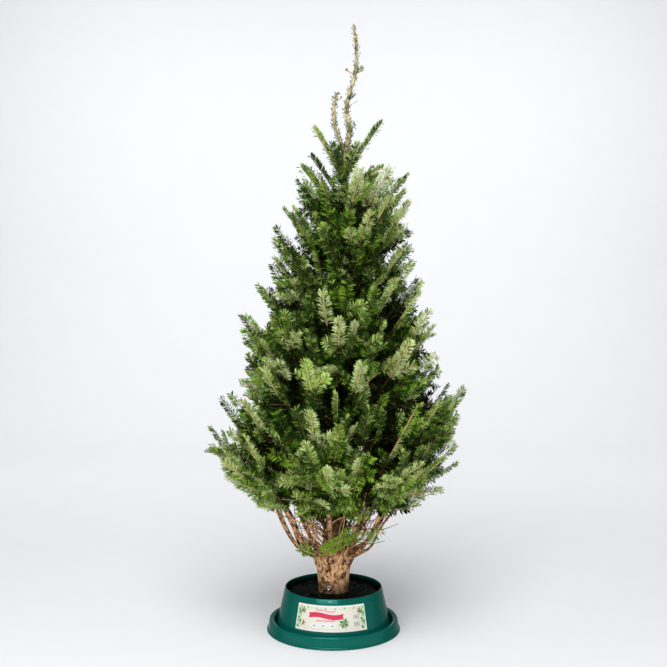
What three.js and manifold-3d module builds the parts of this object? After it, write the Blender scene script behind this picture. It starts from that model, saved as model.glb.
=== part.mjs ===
// A cut fir tree, two metres tall, standing in a round green plastic stand.
//
// Units are millimetres, +Z is up, +X is the tree's right-hand side and -Y its front. The origin is the
// centre of the stand's flat underside. Azimuths are degrees about +Z: 0 is the right side, 90 the back,
// 180 the left side and 270 the front.
//
// The trunk runs whole from its flat cut in the pot to the tip of the leader. Eight bare limbs leave it
// just above the stand, like the arms of a candelabra. Each carries one mass of foliage, and the masses
// above them grow straight from the trunk. Crown space is shared out before anything grows in it: rising
// cone shells split it into tiers, and each tier is split into sectors, so every mass keeps to its own
// cell.
import * as THREE from 'three';
import { mergeVertices } from 'three/addons/utils/BufferGeometryUtils.js';
import Module from 'manifold-3d';

const wasm = await Module();
wasm.setup();

// ---------------------------------------------------------------- driving dimensions

const GAP = 0.3; // air left between neighbouring solids
const WELD = 0.02; // edges shorter than this are closed up

const RING = {
  footRadius: 221,
  lipHeight: 5,
  wallFootRadius: 217.5,
  wallTopRadius: 213.5,
  edgeRound: 3,
  height: 38,
  innerRadius: 196,
  floor: 4,
};
const POT = { footRadius: 192, rimRadius: 158, rimHeight: 142, wall: 3.5, floor: 4 };
const FILL = { level: 116, heap: 10, heapRadius: 72 };
const LABEL = { low: 50, high: 129, halfAngle: 38.5, azimuth: 267, thickness: 0.8, steps: 20, droop: 4 };
const ROUND_STEPS = 36;
const BOLT = { azimuth: 256, height: 150, radius: 7, length: 15 };

// Centreline of the trunk: gentle lean to the right, then the wandering leader.
const TRUNK_LINE = [
  [0, 0, RING.floor + POT.floor + 2 * GAP],
  [0, 0, 150],
  [4, 0, 260],
  [11, 3, 420],
  [14, 6, 700],
  [20, 4, 1000],
  [26, 0, 1250],
  [33, -2, 1480],
  [41, -4, 1576],
  [53, 0, 1648],
  [43, 2, 1717],
  [51, 0, 1766],
  [71, -3, 1834],
  [76, -2, 1900],
  [72, 0, 1957],
  [67, 0, 1997],
];
// Trunk radius by height: straight butt, collar where the limbs leave, then an even taper.
const TRUNK_RADIUS = [
  [0, 50],
  [150, 50],
  [205, 54],
  [238, 59],
  [264, 50],
  [292, 37],
  [420, 31],
  [700, 24],
  [1000, 17.5],
  [1250, 12],
  [1450, 8],
  [1600, 5.5],
  [1800, 4.5],
  [1960, 3.8],
  [1997, 1.6],
];
const TRUNK_SIDES = 9;
const TRUNK_STEPS = 36;

// The crown: its shells rise outwards at this slope, and its outline is given on two sides.
const SHELL_SLOPE = 1.05;
const OUTLINE_RIGHT = [
  [400, 200],
  [440, 330],
  [500, 380],
  [640, 415],
  [755, 435],
  [860, 348],
  [1020, 350],
  [1130, 295],
  [1290, 256],
  [1400, 240],
  [1500, 200],
  [1600, 120],
];
const OUTLINE_LEFT = [
  [400, 210],
  [440, 310],
  [540, 405],
  [640, 430],
  [755, 375],
  [860, 335],
  [1020, 326],
  [1130, 288],
  [1290, 236],
  [1500, 150],
  [1600, 110],
];
// The base tier: each mass forks, and one stem ends on the upper shell, the other on the lower.
const BASE_TIER = { low: 40, high: 300, upperTip: 240, lowerTip: 120, reach: 1.0, lowerReach: 0.97 };
const BASE_CORE = { low: 130, high: 288, from: 214, to: 0.8 };
// Tiers above the base: where the boughs leave the trunk, how many there are and the first one's azimuth.
const TIERS = [
  { root: 375, count: 6, first: 284 },
  { root: 530, count: 5, first: 252 },
  { root: 690, count: 5, first: 268 },
  { root: 850, count: 4, first: 240 },
  { root: 1010, count: 4, first: 285 },
  { root: 1165, count: 4, first: 240 },
  { root: 1310, count: 4, first: 283 },
];
const TIER_SPACING = 160;
const SHELL_DROP = 20; // how far a tier's lower shell lies under the midpoint between two roots
const CELL_MARGIN = 1.2;
// The core of a mass: its share of the cell across and upwards, and of the way to the tip, from and to.
const CORE = { across: 0.88, upward: 0.8, from: 0.3, to: 0.86, rough: 0.14 };

// The top whorl: shoots that end above the shells, each with its root height, tip distance and tip height.
const TOP_SHOOTS = [
  { azimuth: 4, root: 1478, distance: 125, tip: 1675 },
  { azimuth: 182, root: 1474, distance: 99, tip: 1658 },
  { azimuth: 92, root: 1466, distance: 88, tip: 1612 },
  { azimuth: 274, root: 1458, distance: 92, tip: 1596 },
];
const TOP_CELL = { low: 1388, high: 1556, openBeyond: 56 };
// The leader's needles stand on a sleeve round it. A second, shorter leader leaves it low down.
const SLEEVE = { from: 1628, to: 1978, wall: 2.6, needle: 20, needleRadius: 2.4, needles: 16 };
const SECOND_LEADER_NEEDLES = 12;
const SECOND_LEADER = [
  [40, -4, 1566],
  [30, -3, 1600],
  [15, -2, 1632],
  [3, -2, 1679],
  [1, 0, 1725],
  [9, 0, 1772],
];

// Bare limbs: azimuth, height on the trunk, radius at each end, how upright the limb is and how far its
// foliage hangs below that of the others.
const LIMBS = [
  { azimuth: 3, height: 240, thick: 8, thin: 6, upright: 0.35, drop: 0 },
  { azimuth: 47, height: 252, thick: 7.5, thin: 5.5, upright: 0.3, drop: 0 },
  { azimuth: 92, height: 238, thick: 7.5, thin: 5.5, upright: 0, drop: 0 },
  { azimuth: 138, height: 250, thick: 7.5, thin: 5.5, upright: 0.1, drop: 20 },
  { azimuth: 178, height: 230, thick: 7.5, thin: 5.5, upright: 0, drop: 48 },
  { azimuth: 214, height: 246, thick: 7.5, thin: 5.5, upright: 0.1, drop: 30 },
  { azimuth: 260, height: 250, thick: 10, thin: 6.5, upright: 0.75, drop: -45 },
  { azimuth: 318, height: 236, thick: 7.5, thin: 5.5, upright: 0.2, drop: -8 },
];
const LIMB_SPREAD = [
  [30, -8],
  [62, 6],
  [114, 32],
  [168, 100],
  [203, 172],
]; // distance from the trunk's line, and rise above the limb's own height
const LIMB_UPRIGHT = [
  [30, -8],
  [58, 16],
  [74, 60],
  [96, 112],
  [136, 166],
];

// Foliage: a spray of needles is a toothed blade.
const SPRAY = { width: 66, thickness: 16, teeth: 2, notch: 0.5, lean: 0.07 };
const STEM = { thick: 6.5, thin: 2.4, sides: 3, steps: 3 };
const LATERAL = { angle: 50, inner: 0.44, outer: 0.3, least: 30, tilt: 40 };
const TIP_SHARE = 0.8; // where on the stem its terminal spray starts

// ---------------------------------------------------------------- numbers and seeds

const radians = THREE.MathUtils.degToRad;

// A repeatable value from 0 to 1 for any number of whole-number keys.
function chance(...keys) {
  const mixed = keys.reduce((sum, key, i) => sum + key * (12.9898 + 65.3719 * i), 4.137);
  const value = Math.sin(mixed) * 43758.5453;
  return value - Math.floor(value);
}

// The value at x of a table of [x, value] rows, straight between rows and flat beyond the ends.
function fromTable(table, x) {
  if (x <= table[0][0]) return table[0][1];
  const next = table.findIndex((row) => row[0] >= x);
  if (next < 0) return table[table.length - 1][1];
  const [x0, v0] = table[next - 1];
  const [x1, v1] = table[next];
  return v0 + ((v1 - v0) * (x - x0)) / (x1 - x0);
}

// ---------------------------------------------------------------- solids

function toSolid(geometry) {
  const plain = geometry.clone();
  plain.deleteAttribute('normal');
  plain.deleteAttribute('uv');
  const merged = mergeVertices(plain, 1e-3);
  const vertProperties = merged.attributes.position.array;
  const triVerts = new Uint32Array(merged.index.array);
  return new wasm.Manifold(new wasm.Mesh({ numProp: 3, vertProperties, triVerts }));
}

function toGeometry(solid) {
  const mesh = solid.getMesh();
  const geometry = new THREE.BufferGeometry();
  geometry.setAttribute('position', new THREE.BufferAttribute(mesh.vertProperties, 3));
  geometry.setIndex(new THREE.BufferAttribute(mesh.triVerts, 1));
  geometry.computeVertexNormals();
  return geometry;
}

// The largest single body of a solid, without the scraps and sealed hollows that a cut or rounding leaves.
function mainBody(solid) {
  let body = solid.simplify(WELD);
  for (let pass = 0; pass < 3; pass += 1) {
    const bodies = toSolid(toGeometry(body)).decompose();
    body = bodies.reduce((best, other) => (other.volume() > best.volume() ? other : best));
  }
  return body;
}

// A closed cylinder bent along a curve: ring by ring, its radius follows radiusAt(share of the length).
function taperedLimb(curve, radiusAt, sides, steps) {
  const geometry = new THREE.CylinderGeometry(1, 1, 1, sides, steps);
  const frames = curve.computeFrenetFrames(steps, false);
  const position = geometry.attributes.position;
  for (let i = 0; i < position.count; i += 1) {
    const step = Math.round((position.getY(i) + 0.5) * steps);
    const radius = radiusAt(step / steps);
    const point = curve.getPointAt(step / steps);
    point.addScaledVector(frames.binormals[step], position.getX(i) * radius);
    point.addScaledVector(frames.normals[step], position.getZ(i) * radius);
    position.setXYZ(i, point.x, point.y, point.z);
  }
  return geometry;
}

// A thin blade from root to tip, pointed at both ends. Its rim alternates between teeth and notches, and
// two low peaks, one on each face, close it.
function sprayBlade(root, tip, width, faceDirection) {
  const rimCount = 4 * SPRAY.teeth + 4;
  const geometry = new THREE.SphereGeometry(1, rimCount, 2);
  const along = tip.clone().sub(root);
  const length = along.length();
  along.normalize();
  const side = along.clone().cross(faceDirection).normalize();
  const face = side.clone().cross(along);
  const middle = root.clone().lerp(tip, 0.5);
  const position = geometry.attributes.position;
  for (let i = 0; i < position.count; i += 1) {
    const onRim = Math.abs(position.getY(i)) < 0.5;
    const isNotch = onRim && i % 2 === rimCount % 2;
    const isEnd = Math.abs(position.getZ(i)) < 1e-6;
    const spread = isNotch ? SPRAY.notch : 1;
    const forward = onRim && !isNotch && !isEnd ? SPRAY.lean : 0;
    const point = middle.clone();
    point.addScaledVector(along, (position.getX(i) / 2 + forward) * length);
    point.addScaledVector(side, (position.getZ(i) * spread * width) / 2);
    point.addScaledVector(face, (position.getY(i) * SPRAY.thickness) / 2);
    position.setXYZ(i, point.x, point.y, point.z);
  }
  return geometry;
}

// A single needle: a tetrahedron drawn out along its length, with its blunt face at the root.
function needleSpike(root, tip, radius) {
  const spike = new THREE.ConeGeometry(radius, 1, 3, 1);
  const along = tip.clone().sub(root);
  spike.translate(0, 0.5, 0).scale(1, along.length(), 1);
  const turn = new THREE.Quaternion().setFromUnitVectors(new THREE.Vector3(0, 1, 0), along.normalize());
  return spike.applyQuaternion(turn).translate(root.x, root.y, root.z);
}

// ---------------------------------------------------------------- the stand

function lathe(profile) {
  const outline = profile.map(([radius, height]) => new THREE.Vector2(radius, height));
  return new THREE.LatheGeometry(outline, ROUND_STEPS).rotateX(Math.PI / 2);
}

// The ring-shaped base: flat floor, raised rim with a rounded top edge, and a small lip at the foot.
function standRing() {
  return lathe([
    [0, 0],
    [RING.footRadius, 0],
    [RING.footRadius, RING.lipHeight - 1],
    [RING.wallFootRadius, RING.lipHeight],
    [RING.wallTopRadius, RING.height - RING.edgeRound],
    [RING.wallTopRadius - RING.edgeRound, RING.height],
    [RING.innerRadius, RING.height - 1],
    [RING.innerRadius - 1, RING.floor],
    [0, RING.floor],
  ]);
}

const POT_BASE = RING.floor + GAP;

// The pot's outer radius at a height.
function potRadius(height) {
  return THREE.MathUtils.mapLinear(height, POT_BASE, POT.rimHeight, POT.footRadius, POT.rimRadius);
}

// The pot: an open cup that narrows upwards, with a flat floor.
function standPot() {
  return lathe([
    [0, POT_BASE],
    [POT.footRadius, POT_BASE],
    [POT.rimRadius, POT.rimHeight - 1.5],
    [POT.rimRadius - 1.2, POT.rimHeight],
    [POT.rimRadius - POT.wall, POT.rimHeight - 0.5],
    [potRadius(POT_BASE + POT.floor) - POT.wall, POT_BASE + POT.floor],
    [0, POT_BASE + POT.floor],
  ]);
}

// The dark filling round the butt of the trunk, a little heaped against it.
function standFill(trunkClear) {
  const bottom = POT_BASE + POT.floor + GAP;
  const bottomRadius = potRadius(bottom) - POT.wall - 2 * GAP;
  const topRadius = potRadius(FILL.level) - POT.wall - 2 * GAP;
  const disc = lathe([
    [0, bottom],
    [bottomRadius, bottom],
    [topRadius, FILL.level],
    [FILL.heapRadius, FILL.level + FILL.heap],
    [0, FILL.level + FILL.heap],
  ]);
  return toGeometry(mainBody(toSolid(disc).subtract(trunkClear)));
}

// The card on the pot's front: a thin plate bent to the cone of the wall, whose ends droop a little.
function standLabel() {
  const arc = 2 * radians(LABEL.halfAngle);
  const centreHeight = (LABEL.low + LABEL.high) / 2;
  const plate = new THREE.BoxGeometry(arc, LABEL.high - LABEL.low, LABEL.thickness, LABEL.steps, 1, 1);
  const position = plate.attributes.position;
  for (let i = 0; i < position.count; i += 1) {
    const across = position.getX(i) / radians(LABEL.halfAngle);
    const height = position.getY(i) + centreHeight - LABEL.droop * across * across;
    const radius = potRadius(height) + GAP + LABEL.thickness / 2 + position.getZ(i);
    const angle = radians(LABEL.azimuth) + position.getX(i);
    position.setXYZ(i, radius * Math.cos(angle), radius * Math.sin(angle), height);
  }
  return plate;
}

// The bolt that bites into the trunk's front: a plain cylinder, its axis pointing outwards.
function clampBolt(trunkClear) {
  const { azimuth, height, radius, length } = BOLT;
  const angle = radians(azimuth);
  const from = fromTable(TRUNK_RADIUS, height) - 6;
  const shank = new THREE.CylinderGeometry(radius, radius, length + 6, 12).rotateZ(-Math.PI / 2);
  shank.translate(from + (length + 6) / 2, 0, 0).rotateZ(angle).translate(0, 0, height);
  return toGeometry(mainBody(toSolid(shank).subtract(trunkClear)));
}

// ---------------------------------------------------------------- trunk and crown frame

const vector = ([x, y, z]) => new THREE.Vector3(x, y, z);
const trunkCurve = new THREE.CatmullRomCurve3(TRUNK_LINE.map(vector), false, 'centripetal');

function trunkSolid(extra) {
  const radiusAt = (share) => fromTable(TRUNK_RADIUS, trunkCurve.getPointAt(share).z) + extra;
  return toSolid(taperedLimb(trunkCurve, radiusAt, TRUNK_SIDES, TRUNK_STEPS));
}

// The trunk's centre at a height, used as the crown's axis. The leader's wandering is left out.
const AXIS_TOP = 1480;
const AXIS_X = TRUNK_LINE.map(([x, , z]) => [z, x]);
const AXIS_Y = TRUNK_LINE.map(([, y, z]) => [z, y]);
function crownAxis(height) {
  const level = Math.min(height, AXIS_TOP);
  return new THREE.Vector3(fromTable(AXIS_X, level), fromTable(AXIS_Y, level), height);
}

// A point of the crown from its distance to the axis, azimuth and height.
function crownPoint(distance, azimuth, height) {
  const angle = radians(azimuth);
  const outward = new THREE.Vector3(Math.cos(angle), Math.sin(angle), 0);
  return crownAxis(height).addScaledVector(outward, distance);
}

// How far the crown reaches at a height and azimuth: the two outlines, blended round the tree.
function crownReach(height, azimuth) {
  const rightness = (1 + Math.cos(radians(azimuth))) / 2;
  return THREE.MathUtils.lerp(fromTable(OUTLINE_LEFT, height), fromTable(OUTLINE_RIGHT, height), rightness);
}

// Whether a point lies in a cell, at least a margin inside its shells and its sector.
function inCell(point, cell) {
  const axis = crownAxis(point.z);
  const distance = Math.hypot(point.x - axis.x, point.y - axis.y);
  const shell = point.z - SHELL_SLOPE * distance;
  if (shell < cell.low + 1.5 * CELL_MARGIN) return false;
  if (shell > cell.high - 1.5 * CELL_MARGIN && !(distance > cell.openBeyond)) return false;
  const azimuth = THREE.MathUtils.radToDeg(Math.atan2(point.y - axis.y, point.x - axis.x));
  const turn = THREE.MathUtils.euclideanModulo(azimuth - cell.from, 360);
  const toEdge = Math.min(turn, cell.to - cell.from - turn);
  return toEdge > 0 && radians(toEdge) * distance > CELL_MARGIN;
}

// ---------------------------------------------------------------- limbs and boughs

function limbCurve(limb) {
  const points = LIMB_SPREAD.map(([distance, rise], i) => {
    const [uprightDistance, uprightRise] = LIMB_UPRIGHT[i];
    const reach = THREE.MathUtils.lerp(distance, uprightDistance, limb.upright);
    const climb = THREE.MathUtils.lerp(rise, uprightRise, limb.upright);
    return crownPoint(reach, limb.azimuth, limb.height + climb);
  });
  return new THREE.CatmullRomCurve3(points, false, 'centripetal');
}

// A limb's solid, larger all round and longer at its tip by an extra.
function limbSolid(limb, extra) {
  const points = limbCurve(limb).points;
  const end = points.length - 1;
  points[end].addScaledVector(limbCurve(limb).getTangentAt(1), extra);
  const curve = new THREE.CatmullRomCurve3(points, false, 'centripetal');
  const radiusAt = (share) => THREE.MathUtils.lerp(limb.thick, limb.thin, share) + extra;
  return toSolid(taperedLimb(curve, radiusAt, 6, 7));
}

// Where a bough that rises from a shell meets the crown's outline: repeated halving of the mismatch.
function tipDistance(shell, azimuth) {
  let distance = 250;
  for (let i = 0; i < 24; i += 1) {
    distance = (distance + crownReach(shell + SHELL_SLOPE * distance, azimuth)) / 2;
  }
  return distance;
}

// A stem from a start, on along a heading, then to a tip, a little hollow in between.
function forkCurve(start, heading, tip) {
  const length = start.distanceTo(tip);
  const early = start.clone().addScaledVector(heading, 0.14 * length);
  const middle = early.clone().lerp(tip, 0.55);
  middle.z -= 0.04 * length;
  return new THREE.CatmullRomCurve3([start, early, middle, tip], false, 'centripetal');
}

// The base tier: one mass on each limb. From the limb's tip two stems go on to the crown's outline.
function baseMasses() {
  return LIMBS.map((limb, i) => {
    const before = LIMBS[(i + LIMBS.length - 1) % LIMBS.length].azimuth;
    const after = LIMBS[(i + 1) % LIMBS.length].azimuth;
    const from = limb.azimuth - THREE.MathUtils.euclideanModulo(limb.azimuth - before, 360) / 2;
    const to = limb.azimuth + THREE.MathUtils.euclideanModulo(after - limb.azimuth, 360) / 2;
    const heading = limbCurve(limb).getTangentAt(1);
    const start = limbCurve(limb).getPointAt(1);
    const cell = { low: BASE_TIER.low, high: BASE_TIER.high, from, to };
    const tips = [
      [BASE_TIER.upperTip, BASE_TIER.reach],
      [BASE_TIER.lowerTip, BASE_TIER.lowerReach],
    ];
    const stems = tips.map(([level, reach], n) => {
      const shell = level - limb.drop + 30 * (chance(i, 7, n) - 0.5);
      const azimuth = (from + to) / 2 + 8 * (chance(i, 8, n) - 0.5);
      const distance = tipDistance(shell, azimuth) * (reach + 0.06 * (chance(i, 9, n) - 0.5));
      const tip = crownPoint(distance, azimuth, shell + SHELL_SLOPE * distance);
      const nodes = n === 0 ? [0.34, 0.64] : [0.52];
      return { curve: forkCurve(start, heading, tip), nodes, key: 500 + 2 * i + n };
    });
    const reach = tipDistance(BASE_TIER.upperTip, limb.azimuth);
    const [low, high] = [BASE_CORE.low - limb.drop / 2, BASE_CORE.high - Math.max(limb.drop, 0) / 2];
    const core = { low, high, from: BASE_CORE.from, to: BASE_CORE.to * reach };
    return { name: `base_mass_${i + 1}`, key: i, stems, cell, thick: limb.thin, core };
  });
}

// The tiers above: each stem leaves the trunk, sags a little and turns up to its tip.
function tierMasses() {
  return TIERS.flatMap((tier, t) => {
    const sector = 360 / tier.count;
    const low = t === 0 ? BASE_TIER.high : tier.root - TIER_SPACING / 2 - SHELL_DROP;
    const high = t === TIERS.length - 1 ? TOP_CELL.low : TIERS[t + 1].root - TIER_SPACING / 2 - SHELL_DROP;
    return Array.from({ length: tier.count }, (_, i) => {
      const key = 20 + 10 * t + i;
      const centre = tier.first + sector * i;
      const azimuth = centre + 0.18 * sector * (chance(key, 1) - 0.5);
      const root = tier.root + 16 * (chance(key, 2) - 0.5);
      const distance = tipDistance(root, azimuth) * (0.96 + 0.08 * chance(key, 3));
      const sag = 0.1 * distance;
      const points = [0, 0.3, 0.62, 1].map((share) => {
        const height = root + SHELL_SLOPE * distance * share - sag * Math.sin(Math.PI * share);
        return crownPoint(distance * share, azimuth, height);
      });
      const curve = new THREE.CatmullRomCurve3(points, false, 'centripetal');
      const cell = { low, high, from: centre - sector / 2, to: centre + sector / 2 };
      const stems = [{ curve, nodes: [0.47, 0.72], key }];
      const core = { low, high, from: CORE.from * distance, to: CORE.to * distance };
      return { name: `tier_${t + 1}_mass_${i + 1}`, key, stems, cell, thick: STEM.thick, core };
    });
  });
}

// The top whorl: slim shoots without a core.
function topMasses() {
  return TOP_SHOOTS.map((shoot, i) => {
    const heights = [0, 0.34, 0.7, 1].map((share) => [share, share + 0.1 * Math.sin(Math.PI * share)]);
    const points = heights.map(([climb, out]) => {
      return crownPoint(shoot.distance * out, shoot.azimuth, shoot.root + (shoot.tip - shoot.root) * climb);
    });
    const curve = new THREE.CatmullRomCurve3(points, false, 'centripetal');
    const cell = { ...TOP_CELL, from: shoot.azimuth - 43, to: shoot.azimuth + 43 };
    const stems = [{ curve, nodes: [0.4, 0.68], key: 300 + i, slim: 0.62, upright: true }];
    return { name: `top_mass_${i + 1}`, key: 300 + i, stems, cell, thick: 4.5 };
  });
}

// ---------------------------------------------------------------- foliage

// The sprays of a stem, by a seeded rule. Pairs of laterals leave it at yearly nodes, longest at the inner
// ones, and a terminal spray carries it on.
function spraysOf(stem) {
  const { curve, nodes, key, slim = 1, upright = false } = stem;
  const total = curve.getLength();
  const sprays = [];
  nodes.forEach((share, n) => {
    const from = curve.getPointAt(share);
    const ahead = curve.getTangentAt(share);
    const side = new THREE.Vector3(0, 0, 1).cross(ahead).normalize();
    const up = ahead.clone().cross(side).normalize();
    const lateral = total * (n === 0 ? LATERAL.inner : LATERAL.outer) + LATERAL.least;
    for (const hand of [-1, 1]) {
      const seed = key * 31 + n * 3 + hand;
      const angle = radians(LATERAL.angle + 10 * (chance(seed, 4) - 0.5));
      const tilt = radians(LATERAL.tilt * (chance(seed, 5) - 0.5));
      const outward = side.clone().multiplyScalar(hand * Math.cos(tilt));
      outward.addScaledVector(up, Math.sin(tilt));
      const heading = ahead.clone().multiplyScalar(Math.cos(angle));
      heading.addScaledVector(outward, Math.sin(angle));
      const length = slim * lateral * (0.85 + 0.3 * chance(seed, 6));
      sprays.push({ from, heading, length, face: upright ? side : up });
    }
  });
  const from = curve.getPointAt(TIP_SHARE);
  const heading = curve.getPointAt(1).sub(from).normalize();
  const side = new THREE.Vector3(0, 0, 1).cross(heading).normalize();
  const up = heading.clone().cross(side);
  sprays.push({ from, heading, length: curve.getPointAt(1).distanceTo(from), face: upright ? side : up });
  return sprays;
}

// The blade of a spray, shortened until it fits its cell and clears the limbs, or nothing.
function fittedBlade(spray, cell, limbs) {
  for (const share of [1, 0.8, 0.62, 0.46]) {
    const length = spray.length * share;
    if (length < 34) return null;
    const tip = spray.from.clone().addScaledVector(spray.heading, length);
    const width = Math.min(SPRAY.width, 0.62 * length);
    const blade = sprayBlade(spray.from, tip, width, spray.face);
    if (liesInCell(blade, cell, spray.from)) {
      const solid = toSolid(blade);
      if (limbs.every((limb) => solid.minGap(limb, 1) > GAP)) return solid;
    }
  }
  return null;
}

// Whether every corner of a blade, apart from its sunk root, lies in a cell.
function liesInCell(blade, cell, root) {
  const position = blade.attributes.position;
  const corner = new THREE.Vector3();
  for (let i = 0; i < position.count; i += 1) {
    corner.fromBufferAttribute(position, i);
    if (corner.distanceTo(root) > 12 && !inCell(corner, cell)) return false;
  }
  return true;
}

// The core of a dense mass: a rough egg in the cell's own terms of azimuth, shell and distance.
function coreSolid(mass) {
  const { cell, core, key } = mass;
  const egg = new THREE.SphereGeometry(1, 6, 3);
  const position = egg.attributes.position;
  const point = new THREE.Vector3();
  for (let i = 0; i < position.count; i += 1) {
    point.fromBufferAttribute(position, i);
    const spot = point.toArray().map((value) => Math.round(value * 50));
    point.multiplyScalar(1 - CORE.rough * chance(key, ...spot));
    const azimuth = (cell.from + cell.to) / 2 + (point.x * CORE.across * (cell.to - cell.from)) / 2;
    const shell = (core.low + core.high) / 2 + (point.y * CORE.upward * (core.high - core.low)) / 2;
    const distance = (core.from + core.to) / 2 + (point.z * (core.to - core.from)) / 2;
    const place = crownPoint(distance, azimuth, shell + SHELL_SLOPE * distance);
    position.setXYZ(i, place.x, place.y, place.z);
  }
  const solid = toSolid(egg);
  return solid.volume() > 0 ? solid : toSolid(flipped(egg));
}

// The same surface with its faces turned over.
function flipped(geometry) {
  const turned = geometry.clone();
  const order = Array.from(geometry.index.array);
  for (let i = 0; i < order.length; i += 3) {
    [order[i + 1], order[i + 2]] = [order[i + 2], order[i + 1]];
  }
  turned.setIndex(order);
  return turned;
}

function massSolid(mass, clear, limbs) {
  const radiusAt = (share) => THREE.MathUtils.lerp(mass.thick, STEM.thin, share);
  const stemSolid = (stem) => toSolid(taperedLimb(stem.curve, radiusAt, STEM.sides, STEM.steps));
  const pieces = mass.stems.map(stemSolid);
  if (mass.core) pieces.push(coreSolid(mass));
  for (const stem of mass.stems) {
    const blades = spraysOf(stem).map((spray) => fittedBlade(spray, mass.cell, limbs));
    pieces.push(...blades.filter((blade) => blade));
  }
  const fused = pieces.reduce((all, piece) => all.add(piece));
  return mainBody(fused.subtract(clear));
}

// Needles that stand out all round a curve between two shares of it, added to a solid.
function withNeedles(solid, curve, radiusAt, count, key) {
  let result = solid;
  for (let i = 0; i < count; i += 1) {
    const share = (i + 0.5) / count;
    const ahead = curve.getTangentAt(share);
    const turn = 2.4 * i + 0.5 * chance(key, i);
    const around = new THREE.Vector3(Math.cos(turn), Math.sin(turn), 0);
    const outward = around.addScaledVector(ahead, -around.dot(ahead)).normalize();
    const root = curve.getPointAt(share).addScaledVector(outward, radiusAt(share) - SLEEVE.needleRadius);
    const heading = outward.multiplyScalar(0.78).addScaledVector(ahead, 0.62);
    const length = SLEEVE.needle * (0.85 + 0.3 * chance(key, i, 3));
    const spike = needleSpike(root, root.clone().addScaledVector(heading, length), SLEEVE.needleRadius);
    result = result.add(toSolid(spike));
  }
  return result;
}

// The share of the trunk's line at a height: repeated halving.
function trunkShare(height) {
  let [low, high] = [0, 1];
  for (let i = 0; i < 24; i += 1) {
    const middle = (low + high) / 2;
    if (trunkCurve.getPointAt(middle).z < height) low = middle;
    else high = middle;
  }
  return low;
}

// A thin sleeve round a stretch of the leader, with needles on it.
function leaderSleeve(trunkClear) {
  const [start, end] = [trunkShare(SLEEVE.from), trunkShare(SLEEVE.to)];
  const points = Array.from({ length: 11 }, (_, i) => {
    return trunkCurve.getPointAt(THREE.MathUtils.lerp(start, end, i / 10));
  });
  const curve = new THREE.CatmullRomCurve3(points, false, 'centripetal');
  const radiusAt = (share) => fromTable(TRUNK_RADIUS, curve.getPointAt(share).z) + SLEEVE.wall;
  const sleeve = toSolid(taperedLimb(curve, radiusAt, 6, 10));
  return mainBody(withNeedles(sleeve, curve, radiusAt, SLEEVE.needles, 70).subtract(trunkClear));
}

function secondLeader(trunkClear) {
  const curve = new THREE.CatmullRomCurve3(SECOND_LEADER.map(vector), false, 'centripetal');
  const radiusAt = (share) => THREE.MathUtils.lerp(4.2, 2.6, share);
  const stem = toSolid(taperedLimb(curve, radiusAt, 5, 7));
  const bare = stem.subtract(trunkClear);
  return mainBody(withNeedles(bare, curve, radiusAt, SECOND_LEADER_NEEDLES, 41).subtract(trunkClear));
}

// ---------------------------------------------------------------- colours

const finish = (color, roughness) => new THREE.MeshStandardMaterial({ color, roughness, metalness: 0 });
const BARK = finish(0x8a5f3f, 0.9);
const FOLIAGE = finish(0x2f5a27, 0.6);
const GREEN_PLASTIC = finish(0x00594c, 0.38);
const FILLING = finish(0x14120f, 0.8);
const CARD = finish(0xe9e4d3, 0.6);
const STEEL = new THREE.MeshStandardMaterial({ color: 0xb9bcbc, roughness: 0.3, metalness: 1 });

// ---------------------------------------------------------------- assembly

const tree = new THREE.Group();
function addNode(name, geometry, material) {
  const mesh = new THREE.Mesh(geometry, material);
  mesh.name = name;
  tree.add(mesh);
}

const trunk = trunkSolid(0);
const trunkClear = trunkSolid(GAP + 0.1);

addNode('stand_ring', standRing(), GREEN_PLASTIC);
addNode('stand_pot', standPot(), GREEN_PLASTIC);
addNode('stand_fill', standFill(trunkClear), FILLING);
addNode('stand_label', standLabel(), CARD);
addNode('clamp_bolt', clampBolt(trunkClear), STEEL);
addNode('trunk', toGeometry(trunk), BARK);
const limbs = LIMBS.map((limb) => mainBody(limbSolid(limb, 0).subtract(trunkClear)));
limbs.forEach((limb, i) => addNode(`limb_${i + 1}`, toGeometry(limb), BARK));
const limbsClear = LIMBS.map((limb) => limbSolid(limb, GAP + 0.1)).reduce((all, limb) => all.add(limb));
for (const mass of baseMasses()) {
  addNode(mass.name, toGeometry(massSolid(mass, trunkClear.add(limbsClear), limbs)), FOLIAGE);
}
for (const mass of [...tierMasses(), ...topMasses()]) {
  addNode(mass.name, toGeometry(massSolid(mass, trunkClear, [])), FOLIAGE);
}
addNode('leader_mass', toGeometry(leaderSleeve(trunkClear)), FOLIAGE);
addNode('second_leader', toGeometry(secondLeader(trunkClear)), FOLIAGE);

export default tree;
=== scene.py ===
"""A cut fir tree, two metres tall, in a round green plastic stand: its looks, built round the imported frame.

Lengths are metres in the row's frame: +Z is up, +X the tree's right and -Y its front. The crown grows by the
rule of the part's source: a bough for each mass leaves the trunk or a bare limb and rises to the crown's
outline. Here it is carried on, year by year, to the last shoots, and every shoot gets its needles.
"""

import functools
import math

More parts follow.
